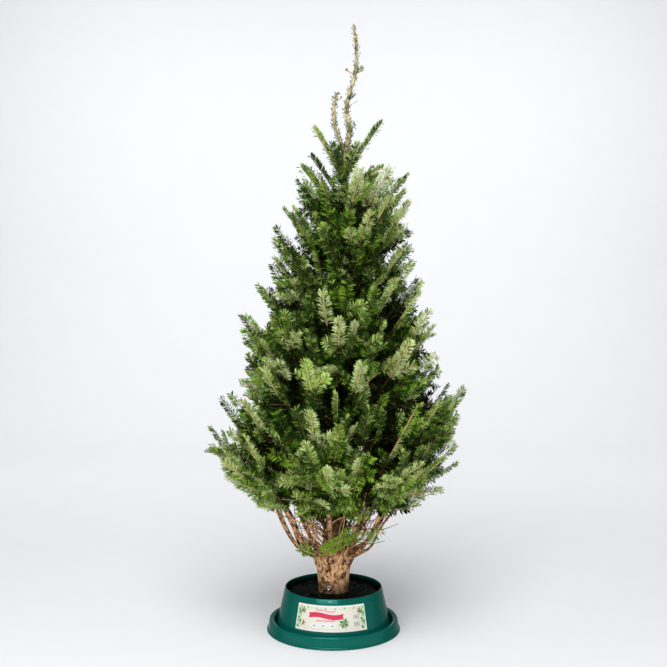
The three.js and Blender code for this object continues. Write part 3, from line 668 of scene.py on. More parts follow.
@functools.lru_cache(maxsize=1)
def shoot_tones():
    """The tint of each shoot's needles: the shade tint deep in the crown and the deep tint for most shoots a
    little behind its outline, both painted shade; elsewhere the tint the shoot grew with, a step lighter as
    painted light for half of them in the lowest part."""
    rows = crown_shoots()
    rng = np.random.default_rng(bpy.context.scene.fir_crown.seed + 7)
    depth, own = rows[:, SHOOT["depth"]], rows[:, SHOOT["tint"]]
    height = rows[:, SHOOT["q"]][:, 2]
    # Painted shade: shoots deep in the crown get the near-black shade tint.
    shaded = depth + rng.normal(0, 0.025, len(rows)) > SHADE_DEPTH + at(SHADE_START, height)
    # Painted shade: most shoots a little behind the outline get the dark deep tint.
    deep = rng.random(len(rows)) < at(PAINTED_SHADE_SHARE, height) * at(PAINTED_SHADE_BY_DEPTH, depth)
    # Painted light: half of the lowest shoots are made a tint lighter.
    lighter = (own < PALE) & (rng.random(len(rows)) < at(PAINTED_LIGHT_SHARE, height))
    return np.where(shaded, SHADE, np.where(deep, DEEP, own + lighter)).astype(int)


# Lean of a needle from its twig in degrees: at the sides, how much less on top and at the tip, and spread.
LEAN_SIDE, LEAN_TOP, LEAN_TIP, LEAN_SPREAD = 73, 18, 22, 6
# The widest place of a needle along its length, and how far its edges lie under its ridge.
WIDEST, RIDGE = 0.68, 0.0006


def shoot_needles(shoots, settings, density, rng, length_scale=1.0, round_about=False):
    """Needles of a set of shoots. Each stands at a place t along its shoot and a roll angle f about it,
    measured from the upper side; it leans forward from the twig by 73 degrees at the sides and 55 on top,
    and more so near the tip: direction = axis cos(lean) + radial(f) sin(lean). Its face is turned about its
    own length by a random twist. Returns root, direction, face normal, length, shoot number, and t."""
    p, q, up = shoots[:, SHOOT["p"]], shoots[:, SHOOT["q"]], shoots[:, SHOOT["up"]]
    length = np.linalg.norm(q - p, axis=1)
    own = np.repeat(np.arange(len(shoots)), np.round(length * density).astype(int))
    total = len(own)
    axis = unit(q - p)[own]
    up = unit(up[own] - axis * np.sum(up[own] * axis, axis=1, keepdims=True))
    side = np.cross(axis, up)
    hand = np.where(rng.random(total) < 0.5, -1.0, 1.0)
    roll = np.where(rng.random(total) < 0.62, rng.normal(1.34, 0.24, total), rng.uniform(0, 1.15, total))
    upright = np.where(rng.random(total) < 0.86, rng.uniform(0, 1.35, total), rng.uniform(1.35, 2.3, total))
    roll = np.where(shoots[own, SHOOT["order"]] == BRUSH, upright, roll)
    if round_about:
        roll = rng.uniform(0, math.pi, total)
    radial = up * np.cos(roll)[:, None] + side * (hand * np.sin(roll))[:, None]
    topness = np.clip(np.cos(roll), 0, 1)
    t = rng.random(total)
    lean = np.radians(
        LEAN_SIDE - LEAN_TOP * topness - LEAN_TIP * t ** 4 + rng.normal(0, LEAN_SPREAD, total))
    heading = axis * np.cos(lean)[:, None] + radial * np.sin(lean)[:, None]
    heading = unit(heading + up * 0.08)
    root = p[own] + (q - p)[own] * t[:, None] + radial * 0.0012
    normal = up * 0.85 + radial * 0.25
    normal = unit(normal - heading * np.sum(normal * heading, axis=1, keepdims=True))
    twist = (rng.normal(0, 1, total) * (0.40 + 0.8 * topness))[:, None]
    normal = normal * np.cos(twist) + np.cross(heading, normal) * np.sin(twist)
    size = settings.needle_length * length_scale * (1 - 0.20 * topness) * rng.uniform(0.84, 1.1, total)
    size = size * np.interp(t, [0, 0.2, 0.8, 1], [0.8, 1, 1, 0.8])
    return root, heading, normal, size, own, t


def needle_faces(root, heading, normal, size, width):
    """Each needle is a slim closed body of four points: root, tip, and two edge points at 0.68 of its
    length, half a width to each side and a little lower. Its two upper faces meet in a ridge along the
    middle, its two lower faces across the edge points."""
    wide = np.cross(heading, normal)
    middle = root + heading * (size * WIDEST)[:, None] - normal * RIDGE
    left, right = middle - wide * (width / 2), middle + wide * (width / 2)
    points = np.stack([root, right, root + heading * size[:, None], left], axis=1).reshape(-1, 3)
    base = (np.arange(len(root)) * 4)[:, None, None]
    upper = base + np.array([[0, 1, 2], [0, 2, 3]])
    lower = base + np.array([[0, 3, 1], [3, 2, 1]])
    return points, upper.reshape(-1, 3), lower.reshape(-1, 3)


# ---------------------------------------------------------------- finishes


def colour(rgb):
    """A colour with full opacity."""
    return (*rgb, 1.0)


def new_material(name, base, roughness=0.5, metallic=0.0, **sockets):
    """A Principled material whose even values are set on its own sockets."""
    material = bpy.data.materials.new(name)
    material.use_nodes = True
    shader = material.node_tree.nodes["Principled BSDF"]
    shader.inputs["Base Color"].default_value = colour(base)
    shader.inputs["Roughness"].default_value = roughness
    shader.inputs["Metallic"].default_value = metallic
    for socket, value in sockets.items():
        shader.inputs[socket.replace("_", " ")].default_value = value
    material.diffuse_color = colour(base)
    return material, material.node_tree, shader


def new_group(name, inputs, outputs):
    """An empty shader group with float or colour sockets, given as {name: default}."""
    group = bpy.data.node_groups.new(name, "ShaderNodeTree")
    for label, default in inputs.items():
        kind = "NodeSocketColor" if isinstance(default, tuple) else "NodeSocketFloat"
        socket = group.interface.new_socket(name=label, in_out="INPUT", socket_type=kind)
        socket.default_value = default
    for label, kind in outputs.items():
        group.interface.new_socket(name=label, in_out="OUTPUT", socket_type=kind)
    return group, group.nodes.new("NodeGroupInput"), group.nodes.new("NodeGroupOutput")


def node(tree, kind, links=None, **settings):
    """A node with its settings; links maps its input names or places to sockets or values."""
    made = tree.nodes.new(kind)
    for key, value in settings.items():
        setattr(made, key, value)
    for key, source in (links or {}).items():
        socket = made.inputs[key]
        if isinstance(source, bpy.types.NodeSocket):
            tree.links.new(source, socket)
        else:
            socket.default_value = source
    return made


def mapped(tree, value, start, end, low=0.0, high=1.0):
    """A value carried from the range start to end onto low to high, and held at its ends."""
    return node(tree, "ShaderNodeMapRange", {
        "Value": value, "From Min": start, "From Max": end, "To Min": low, "To Max": high,
    }).outputs["Result"]


def blended(tree, factor, first, second):
    """A colour between two, by a factor."""
    return node(tree, "ShaderNodeMix", {"Factor": factor, 6: first, 7: second}, data_type="RGBA").outputs[2]


def worked(tree, operation, *values):
    """One step of arithmetic on sockets or values."""
    return node(tree, "ShaderNodeMath", dict(enumerate(values)), operation=operation).outputs[0]


def noise(tree, place, scale, detail, roughness=0.5):
    """Noise at a place, from 0 to 1."""
    return node(tree, "ShaderNodeTexNoise", {
        "Vector": place, "Scale": scale, "Detail": detail, "Roughness": roughness}).outputs["Fac"]


def object_place(tree):
    """The place on the piece, in metres."""
    return node(tree, "ShaderNodeTexCoord").outputs["Object"]


@functools.lru_cache(maxsize=1)
def bark_group():
    """Bark: blotches of light and dark, fine streaks along the stem, and a height for bumps."""
    group, inside, out = new_group(
        "Bark skin",
        {"Light": (0.5, 0.3, 0.2, 1.0), "Dark": (0.1, 0.05, 0.02, 1.0), "Blotch Scale": 30.0,
         "Streak Scale": 160.0},
        {"Color": "NodeSocketColor", "Height": "NodeSocketFloat", "Roughness": "NodeSocketFloat"})
    given = inside.outputs
    place = object_place(group)
    tall = node(group, "ShaderNodeMapping", {"Vector": place, "Scale": (1.0, 1.0, 0.34)}).outputs["Vector"]
    blotch = noise(group, place, given["Blotch Scale"], 6.0, 0.62)
    streak = noise(group, tall, given["Streak Scale"], 4.0, 0.7)
    both = worked(group, "MULTIPLY_ADD", streak, 0.95, worked(group, "MULTIPLY", blotch, 1.05))
    mask = mapped(group, both, 0.885, 1.135)
    group.links.new(blended(group, mask, given["Dark"], given["Light"]), out.inputs["Color"])
    group.links.new(both, out.inputs["Height"])
    group.links.new(mapped(group, blotch, 0.0, 1.0, 0.62, 0.95), out.inputs["Roughness"])
    return group


@functools.lru_cache(maxsize=1)
def speckle_group():
    """Speckle: a base colour with soft lighter dust and fine pores, for moulded and printed surfaces."""
    group, inside, out = new_group(
        "Fine speckle",
        {"Base": (0.1, 0.1, 0.1, 1.0), "Dust": (0.5, 0.5, 0.5, 1.0), "Amount": 0.15, "Scale": 40.0,
         "Roughness": 0.4},
        {"Color": "NodeSocketColor", "Roughness": "NodeSocketFloat", "Height": "NodeSocketFloat"})
    given = inside.outputs
    place = object_place(group)
    cloud = noise(group, place, given["Scale"], 7.0, 0.66)
    amount = worked(group, "MULTIPLY", mapped(group, cloud, 0.48, 0.78), given["Amount"])
    group.links.new(blended(group, amount, given["Base"], given["Dust"]), out.inputs["Color"])
    group.links.new(worked(group, "ADD", amount, given["Roughness"]), out.inputs["Roughness"])
    group.links.new(noise(group, place, 900.0, 2.0), out.inputs["Height"])
    return group


def placed(tree, group, values):
    """A group node in a material with its own values."""
    made = tree.nodes.new("ShaderNodeGroup")
    made.node_tree = group
    for key, value in values.items():
        made.inputs[key].default_value = value
    return made


def finish_with(tree, shader, made, strength, distance):
    """Feeds a group's colour, roughness and height to the shader."""
    tree.links.new(made.outputs["Color"], shader.inputs["Base Color"])
    tree.links.new(made.outputs["Roughness"], shader.inputs["Roughness"])
    bump = node(tree, "ShaderNodeBump",
                {"Height": made.outputs["Height"], "Strength": strength, "Distance": distance})
    tree.links.new(bump.outputs["Normal"], shader.inputs["Normal"])


@functools.lru_cache(maxsize=None)
def bark_material(name, blotch, streak, light, dark):
    """Bark with blotches and streaks of the given scales, between a light and a dark colour."""
    material, tree, shader = new_material(name, light, 0.85, Specular_IOR_Level=0.12)
    made = placed(tree, bark_group(), {"Light": colour(light), "Dark": colour(dark),
                                       "Blotch Scale": blotch, "Streak Scale": streak})
    finish_with(tree, shader, made, 0.8, 0.0012)
    return material


@functools.lru_cache(maxsize=None)
def speckled_material(name, base, dust, amount, scale, roughness, bump=0.08, shine=0.3):
    """A smooth surface of one colour with a little dust in another."""
    material, tree, shader = new_material(name, base, roughness, Specular_IOR_Level=shine)
    made = placed(tree, speckle_group(), {"Base": colour(base), "Dust": colour(dust), "Amount": amount,
                                          "Scale": scale, "Roughness": roughness})
    finish_with(tree, shader, made, bump, 0.0004)
    return material


def plain_material(name, base, roughness, shine, gleam=(1.0, 1.0, 1.0)):
    """A plain base colour with a little shine, tinted by the gleam."""
    return new_material(name, base, roughness, Specular_IOR_Level=shine, Specular_Tint=colour(gleam))[0]


# Upper and lower side of the needles of each tint. The shade colours are painted shade deep in the crown,
# and the deep colours are both some boughs' own dark green and painted shade behind the outline.
NEEDLE_COLOURS = {
    "shade": ((0.0014, 0.0055, 0.0006), (0.0020, 0.0065, 0.0010)),
    "deep": ((0.0125, 0.044, 0.0035), (0.026, 0.060, 0.010)),
    "mid": ((0.104, 0.240, 0.016), (0.162, 0.270, 0.046)),
    "fresh": ((0.250, 0.432, 0.034), (0.372, 0.500, 0.124)),
    "pale": ((0.192, 0.312, 0.044), (0.530, 0.628, 0.280)),
    "gold": ((0.220, 0.450, 0.026), (0.340, 0.520, 0.085)),
}
NEEDLE_GLEAM = (0.80, 1.0, 0.22)


# ---------------------------------------------------------------- trunk and limbs

LEADER_DARK = (0.150, 0.105, 0.045)
TRUNK_SIDES = 72
# Bark relief of the trunk: height of its swells, rings and the knuckles under the limbs, and by height the
# share of the swells, the depth of the plates and how much the leader is thickened.
SWELL, RING, KNUCKLE = 0.055, 0.006, 0.010
SWELL_SHARE = np.array([[0.1, 0.4], [0.2, 1.0], [0.3, 1.0], [0.6, 0.3]])
PLATE_DEPTH = np.array([[0.14, 0.005], [0.21, 0.018], [0.30, 0.014]])
LEADER_THICKER = np.array([[1.50, 0.0], [1.60, 0.0018], [1.9, 0.0012]])
# Heights between which the bark is darkened towards the pot as painted shade, darkened behind the foliage as
# painted shade with the older bark's darker tone, and pale as a leader.
FOOT_SHADE, FOLIAGE_SHADE_AND_AGE, LEADER_PALE = (0.172, 0.136), (0.275, 0.335), (1.40, 1.55)
# Small knots on the bark: distance to the right of the trunk's centre, and height.
BARK_MARKS = [(-0.0215, 0.2005), (-0.0230, 0.184), (-0.0215, 0.168), (0.012, 0.232), (-0.034, 0.214)]


def trunk_surface():
    """The trunk: centre(z) + r (cos a, sin a, 0), where r is the table's radius times 1 + slow swells +
    plates that run up the stem + fine rings, with a knuckle where each limb leaves it."""
    z = np.concatenate([np.linspace(0.0087, 0.34, 150), np.linspace(0.343, 1.9969, 330)])
    path, level = trunk_centre(z), z[:, None]
    angle = np.arange(TRUNK_SIDES) / TRUNK_SIDES * FULL_TURN
    swell = (np.sin(3 * angle + 21 * level) + np.sin(2 * angle - 34 * level + 1.3)
             + 0.6 * np.sin(5 * angle + 58 * level)) / 3
    plates = np.sin(17 * angle + 3.5 * np.sin(47 * level) + 2 * np.sin(3 * angle + 61 * level))
    rings = np.sin(620 * level + 2.2 * np.sin(3 * angle) + 1.6 * np.sin(9 * angle + 40 * level))
    relief = SWELL * swell * at(SWELL_SHARE, z)[:, None] + at(PLATE_DEPTH, z)[:, None] * plates
    radius = at(TRUNK_RADIUS, z)[:, None] * (1 + relief + RING * rings)
    radius = radius + at(LEADER_THICKER, z)[:, None]
    for azimuth, height, *_ in LIMBS:
        turn = np.angle(np.exp(1j * (angle - math.radians(azimuth))))
        radius = radius + KNUCKLE * np.exp(-(turn / 0.34) ** 2 - ((level - height + 0.004) / 0.022) ** 2)
    ring = np.stack([np.cos(angle), np.sin(angle), 0 * angle], axis=-1)
    points = path[:, None] + radius[..., None] * ring[None]
    tip = path[-1:] + [[0, 0, 0.0002]]
    ends = np.stack([np.repeat(path[:1], TRUNK_SIDES, 0), np.repeat(tip, TRUNK_SIDES, 0)])
    points = np.concatenate([ends[:1], points, ends[1:]]).reshape(-1, 3)
    return points, grid_faces(len(z) + 2, TRUNK_SIDES)


def trunk_material(s):
    """Bark that is light on the bare stem, darkened in the pot as painted shade, darkened behind the foliage
    as painted shade and older bark, and pale as a leader.
    """
    material, tree, shader = new_material("Trunk bark", tuple(s.bark_light), 0.85, Specular_IOR_Level=0.12)
    light, dark = np.array(s.bark_light), np.array(s.bark_dark)
    # The second of these is a darkened copy of the bark, for the painted shade.
    low, shaded_bark, high = (
        placed(tree, bark_group(), {"Light": colour(bright), "Dark": colour(deep),
                                    "Blotch Scale": blotch, "Streak Scale": streak})
        for bright, deep, blotch, streak in (
            (light, dark, 33.0, 120.0), (0.30 * light, 0.4 * dark, 30.0, 150.0),
            (s.leader_light, LEADER_DARK, 60.0, 420.0)))
    finish_with(tree, shader, low, 1.0, 0.002)
    level = node(tree, "ShaderNodeSeparateXYZ", {"Vector": object_place(tree)}).outputs["Z"]
    # Painted shade: darker towards the pot's inside and behind the foliage, where the bark is older too.
    shade_and_age = worked(tree, "MAXIMUM", mapped(tree, level, *FOLIAGE_SHADE_AND_AGE), mapped(tree, level, *FOOT_SHADE))
    tone = blended(tree, shade_and_age, low.outputs["Color"], shaded_bark.outputs["Color"])
    tone = blended(tree, mapped(tree, level, *LEADER_PALE), tone, high.outputs["Color"])
    tree.links.new(tone, shader.inputs["Base Color"])
    return material


def bark_knots():
    """Small round knots that stand out of the trunk's front."""
    parts = []
    for x, height in BARK_MARKS:
        radius = float(at(TRUNK_RADIUS, height)) + 0.0005
        out = unit(np.array([x, -math.sqrt(radius ** 2 - x ** 2), 0.0]))
        reach = np.linspace(radius - 0.004, radius + 0.0008, 4)[:, None]
        parts.append(swept(trunk_centre(np.array([height]))[0] + out * reach, np.full(4, 0.0021), 10))
    return joined(parts)


class FIR_OT_trunk(bpy.types.Operator):
    """Trunk and leader: a tube along the trunk's line whose radius follows the table, with bark relief"""

    bl_idname = "fir.trunk"
    bl_label = "Trunk"

    def execute(self, context):
        bark = trunk_material(context.scene.fir_crown)
        new_piece("trunk_bark", *trunk_surface(), bark, "bark", ["trunk"])
        dark = bark_material("Bark marks", 90.0, 400.0, (0.030, 0.016, 0.008), (0.012, 0.007, 0.004))
        new_piece("bark_marks", *bark_knots(), dark, "bark", ["trunk"])
        return {"FINISHED"}


# Thin limbs beside the eight main ones: azimuth, height, uprightness, radius.
THIN_LIMBS = [
    (20, 0.262, 0.55, 0.0040), (350, 0.232, 0.50, 0.0052), (334, 0.268, 0.85, 0.0038),
    (64, 0.236, 0.50, 0.0045), (112, 0.262, 0.40, 0.0048), (152, 0.240, 0.65, 0.0042),
    (170, 0.262, 0.20, 0.0048), (187, 0.242, 0.06, 0.0050), (199, 0.262, 0.22, 0.0042),
    (232, 0.238, 0.45, 0.0050), (300, 0.242, 0.70, 0.0046), (9, 0.228, 0.10, 0.0050),
    (192, 0.236, 0.30, 0.0044), (345, 0.262, 0.20, 0.0046), (15, 0.250, 0.75, 0.0038),
    (127, 0.250, 0.80, 0.0040), (78, 0.262, 0.70, 0.0038),
]
LIMB_STEPS, THIN_STEPS = 46, 48
# Main limbs that are drawn as two strands side by side.
PAIRED_LIMBS = (4, 5)
ASIDE = np.array([0.35, -0.45, 0.82])
TWIGS_PER_LIMB = 5
DRY_STRANDS = 9
DEAD_TWIGS = 130
# Twigs that fork off the front limb: start, end, radius.
FORKS = [
    ((-0.030, -0.095, 0.335), (-0.122, -0.150, 0.415), 0.0032),
    ((-0.032, -0.095, 0.322), (-0.132, -0.142, 0.392), 0.0026),
    ((-0.026, -0.095, 0.345), (0.036, -0.142, 0.400), 0.0028),
    ((-0.034, -0.080, 0.300), (-0.098, -0.120, 0.352), 0.0018),
    ((-0.040, -0.072, 0.285), (-0.112, -0.100, 0.330), 0.0022),
    ((0.030, -0.075, 0.285), (0.100, -0.105, 0.345), 0.0020),
]


def main_limbs():
    """Tubes of the eight limbs, thicker at the collar. A paired limb is two thinner strands that part to
    either side of its path."""
    parts = []
    share = np.linspace(0, 1, LIMB_STEPS)
    for i, (azimuth, height, thick, thin, upright, _) in enumerate(LIMBS):
        path = through(limb_path(azimuth, height, upright), None, LIMB_STEPS)
        radius = thick + (thin - thick) * share + 0.005 * np.exp(-(share / 0.10) ** 2)
        if i not in PAIRED_LIMBS:
            parts.append(swept(path, radius, 14, 0.06, float(i)))
            continue
        for hand in (-1, 1):
            sway = hand * 0.62 * radius * np.interp(share, [0, 0.25, 1], [0.3, 1, 1.25])
            strand = radius * np.interp(share, [0, 0.2], [0.9, 0.42])
            parts.append(swept(path + ASIDE * sway[:, None], strand, 12, 0.07, float(i + hand)))
    return parts


def thin_limbs(rng):
    """Tubes of the thin limbs, each a little off its smooth path, with short twigs on its upper part."""
    parts = []
    share = np.linspace(0, 1, THIN_STEPS)
    along = np.linspace(0, 1, 8)
    for i, (azimuth, height, upright, thick) in enumerate(THIN_LIMBS):
        knots = limb_path(azimuth, height, upright)
        knots[2:] += rng.normal(0, 0.007, (3, 3))
        end = knots[-1] + (knots[-1] - knots[-2]) * 0.9 + [0, 0, 0.03]
        path = through(np.vstack([knots, end]), None, THIN_STEPS)
        radius = thick * (1 - 0.45 * share) + 0.004 * np.exp(-(share / 0.10) ** 2)
        parts.append(swept(path, radius, 10, 0.07, float(i)))
        for _ in range(TWIGS_PER_LIMB):
            k = rng.integers(12, 42)
            aim = unit(unit(path[k + 1] - path[k]) + rng.normal(0, 0.6, 3) + [0, 0, 0.2])
            twig = path[k] + along[:, None] * aim * rng.uniform(0.03, 0.09)
            twig[:, 2] += 0.01 * along ** 2
            parts.append(swept(twig, np.linspace(0.0018, 0.0009, 8), 5, 0.0, 0.0))
    return parts


def dry_twigs(rng):
    """Twigs that fork off the front limb, and dry strands that run up among the limbs in front."""
    parts = []
    for start, end, radius in FORKS:
        path = np.linspace(start, end, 12)
        path[:, 2] += 0.010 * np.sin(np.linspace(0, math.pi, 12))
        parts.append(swept(path, np.linspace(radius, radius * 0.7, 12), 8, 0.06, start[0] * 90))
    for _ in range(DRY_STRANDS):
        knots = limb_path(rng.uniform(180, 360), rng.uniform(0.236, 0.275), rng.uniform(0.1, 1.0))[1:]
        knots = knots + rng.normal(0, 0.013, (4, 3)) * np.array([[0.2], [1], [1], [1]])
        radius = np.linspace(rng.uniform(0.0014, 0.0024), 0.0011, 22)
        parts.append(swept(through(knots, None, 22), radius, 6, 0.05))
    return parts


def dead_tangle(rng):
    """A dark tangle of bowed dead twigs round the trunk, crossing every way: their dark brown is partly the
    dead wood's own tone and partly painted shade of the crown's inside.
    """
    parts = []
    share = np.linspace(0, 1, 9)[:, None]
    for _ in range(DEAD_TWIGS):
        turn = rng.uniform(0, FULL_TURN)
        out = np.array([math.cos(turn), math.sin(turn), 0.0])
        start = crown_point(0.0, 0.0, rng.uniform(0.275, 0.400)) + out * rng.uniform(0.015, 0.045)
        aim = unit(out * rng.uniform(0.2, 1.0) + rng.normal(0, 0.55, 3) + [0, 0, 0.75])
        reach = rng.uniform(0.05, 0.13)
        bend = unit(rng.normal(0, 1, 3)) * 0.12 * reach
        path = start + aim * reach * share + bend * np.sin(math.pi * share)
        parts.append(swept(path, np.linspace(rng.uniform(0.0014, 0.0030), 0.0010, 9), 6, 0.05))
    return parts


class FIR_OT_limbs(bpy.types.Operator):
    """Bare limbs at the crown's foot: tubes that taper along their paths, rough with old bark"""

    bl_idname = "fir.limbs"
    bl_label = "Bare limbs"

    def execute(self, context):
        s = context.scene.fir_crown
        rng = np.random.default_rng(s.seed + 3)
        limbs = main_limbs() + thin_limbs(rng)
        tan = bark_material("Dry twigs", 80.0, 420.0, (0.74, 0.43, 0.20), (0.26, 0.13, 0.05))
        new_piece("dry_twigs", *joined(dry_twigs(rng)), tan, "bark")
        # The dead twigs' dark brown: partly their own tone, partly painted shade of the crown's inside.
        brown = bark_material("Dead twigs", 80.0, 420.0, (0.33, 0.165, 0.072), (0.05, 0.022, 0.009))
        new_piece("dead_twigs", *joined(dead_tangle(rng)), brown, "bark")
        light = tuple(np.array((0.84, 0.80, 0.74)) * s.bark_light)
        bark = bark_material("Limb bark", 42.0, 220.0, light, tuple(0.45 * np.array(s.bark_dark)))
        names = [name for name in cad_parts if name.startswith("limb_")]
        new_piece("limb_bark", *joined(limbs), bark, "bark", names)
        return {"FINISHED"}


# ---------------------------------------------------------------- twigs, needles and buds

# Radius of a twig: this year's, more for each year of age, and times a factor by order of branching.
TWIG_RADIUS, RADIUS_PER_YEAR, RADIUS_BY_ORDER = 0.00125, 0.00050, [1.3, 1.0, 1.0, 1.0, 1.7]
LIGHT_TWIG = 1.4  # how much thicker a twig among light needles is
# Needles: the years of growth that bear them, how deep in the crown, and their density by age.
NEEDLE_YEARS, DEEPEST_NEEDLES, DENSITY_BY_AGE = 4, 0.26, [1, 0.9, 0.6, 0.4]
# Shade needles are fewer, longer and wider; brushes are denser.
SHADE_DENSITY, SHADE_LENGTH, SHADE_WIDTH, BRUSH_DENSITY = 0.27, 1.2, 2.2, 1.7
TUFTS = 12
MOST_FACES = 190000
NEEDLE_SHINE = 0.22
DULL_SHINE = 0.08


class FIR_OT_twigs(bpy.types.Operator):
    """Boughs and twigs: a tapering prism for every year's growth, thicker with age"""

    bl_idname = "fir.twigs"
    bl_label = "Boughs and twigs"

    def execute(self, context):
        s = context.scene.fir_crown
        rows = crown_shoots()
        age, order = rows[:, SHOOT["age"]], rows[:, SHOOT["order"]]
        thick = (TWIG_RADIUS + RADIUS_PER_YEAR * age) * np.choose(order.astype(int), RADIUS_BY_ORDER)
        outer = rows[:, SHOOT["depth"]] < SHADE_DEPTH
        light = shoot_tones() > MID
        thick = thick * np.where(light, LIGHT_TWIG, 1.0)
        thin = np.maximum(thick - 0.0004, 0.0010)
        # Only twigs among light needles near the outline get the fresh skin; this year's twigs among deep or
        # shade needles take the darker young skin as painted shade.
        fresh = light & (age < 2) & outer
        young = ~fresh & (age < 3) & outer
        for name, chosen, tone, slot in (
                ("twigs_fresh", fresh, s.twig_fresh, "foliage"),
                ("twigs_young_and_shaded", young, s.twig_young_and_shaded, "foliage"),
                ("twigs_old", ~(fresh | young), s.twig_old, "bark")):
            points, faces = prisms(
                rows[chosen, SHOOT["p"]], rows[chosen, SHOOT["q"]], rows[chosen, SHOOT["up"]],
                thick[chosen], thin[chosen])
            material = bark_material(
                name.replace("_", " "), 90.0, 500.0, tuple(tone), tuple(0.62 * np.array(tone)))
            new_piece(name, points, faces, material, slot, FOLIAGE_NODES, smooth=False)
        return {"FINISHED"}


def needle_tints(rows, tone, heading, own, t, rng):
    """The tint of each needle: its shoot's, moved a tint or two for tufts of needles, which are one side of a
    shoot and a twelfth of its length each, and for strays and some of the needles near a young tip."""
    tint = tone[own]
    side = np.cross(unit(rows[:, SHOOT["q"]] - rows[:, SHOOT["p"]]), rows[:, SHOOT["up"]])
    hand = (np.sum(side[own] * heading, axis=1) > 0).astype(int)
    mood = rng.random((len(rows), TUFTS, 2))[own, (t * (TUFTS - 0.01)).astype(int), hand]
    lit = (tint > SHADE) & (tint < GOLD)
    tint = tint + lit * ((mood > 0.74).astype(int) - (mood < 0.30) - (mood < 0.07))
    tint = np.where(lit, np.clip(tint, DEEP, PALE), tint)
    stray = (rng.random(len(own)) < np.where(tone == DEEP, 0.07, 0.26)[own]) & (tint > SHADE)
    tint[stray] = np.clip(tint[stray] + rng.choice([-1, 1], stray.sum()), DEEP, PALE)
    young = rows[own, SHOOT["age"]] == 0
    tip = young & (t > 0.66) & (tint > DEEP) & (rng.random(len(own)) < 0.25)
    tint[tip] = np.where(tint[tip] == PALE, PALE, np.minimum(tint[tip] + 1, GOLD))
    return tint


def needle_pieces(label, points, upper, lower):
    """Makes the upper and lower sides of one tint's needles into pieces with few enough faces each."""
    count = max(1, math.ceil(len(upper) / MOST_FACES))
    top, under = NEEDLE_COLOURS[label]
    for face, faces, shade, rough in (("top", upper, top, 0.45), ("under", lower, under, 0.55)):
        for n, part in enumerate(np.array_split(faces.reshape(-1, 2, 3), count)):
            first, last = part.min() // 4 * 4, part.max() // 4 * 4 + 4
            material = plain_material(f"Needle {label} {face} {n}", shade, rough, NEEDLE_SHINE, NEEDLE_GLEAM)
            new_piece(f"needles_{label}_{face}_{n + 1}", points[first:last], part.reshape(-1, 3) - first,
                      material, "foliage", FOLIAGE_NODES, smooth=False)


class FIR_OT_needles(bpy.types.Operator):
    """Needles of every shoot, dealt out by spray into tints, with dark upper faces and pale lower ones"""

    bl_idname = "fir.needles"
    bl_label = "Needles"

    def execute(self, context):
        s = context.scene.fir_crown
        rows = crown_shoots()
        rng = np.random.default_rng(s.seed + 8)
        leafy = (rows[:, SHOOT["age"]] < NEEDLE_YEARS) & (rows[:, SHOOT["depth"]] < DEEPEST_NEEDLES)
        rows, tone = rows[leafy], shoot_tones()[leafy]
        density = s.needles_per_metre * np.interp(
            rows[:, SHOOT["age"]], range(NEEDLE_YEARS), DENSITY_BY_AGE)
        density = density * np.where(tone == SHADE, SHADE_DENSITY, 1.0)
        density = density * np.where(rows[:, SHOOT["order"]] == BRUSH, BRUSH_DENSITY, 1.0)
        root, heading, normal, size, own, t = shoot_needles(rows, s, density, rng)
        tint = needle_tints(rows, tone, heading, own, t, rng)
        size = size * np.where(tint == SHADE, SHADE_LENGTH, 1.0)
        for k, label in enumerate(TINTS):
            chosen = tint == k
            width = s.needle_width * (SHADE_WIDTH if k == SHADE else 1.0)
            needle_pieces(label, *needle_faces(
                root[chosen], heading[chosen], normal[chosen], size[chosen], width))
        return {"FINISHED"}


# Short stubs on the leaders: start, end, radius; some of them end in buds.
LEADER_STUBS = [
    ((0.066, -0.002, 1.838), (0.043, -0.009, 1.849), 0.0022),
    ((0.050, -0.002, 1.737), (0.037, -0.008, 1.744), 0.0026),
    ((0.053, -0.002, 1.735), (0.079, -0.012, 1.747), 0.0008),
    ((0.007, -0.001, 1.752), (0.026, -0.006, 1.758), 0.0020),
]
STUB_ENDS = [end for _, end, radius in LEADER_STUBS if radius > 0.001]
# Needles on a metre of leader by height, their length over a full needle's, width, sweep and colours.
LEADER_DENSITY = np.array([[1.5, 2400], [1.62, 1500], [1.72, 800], [1.9, 560]])
LEADER_LENGTH, LEADER_WIDTH, SWEPT_UP = 0.54, 0.0025, (1.5, 0.45)
LEADER_NEEDLES = {"top": (0.018, 0.062, 0.014), "under": (0.055, 0.110, 0.035)}


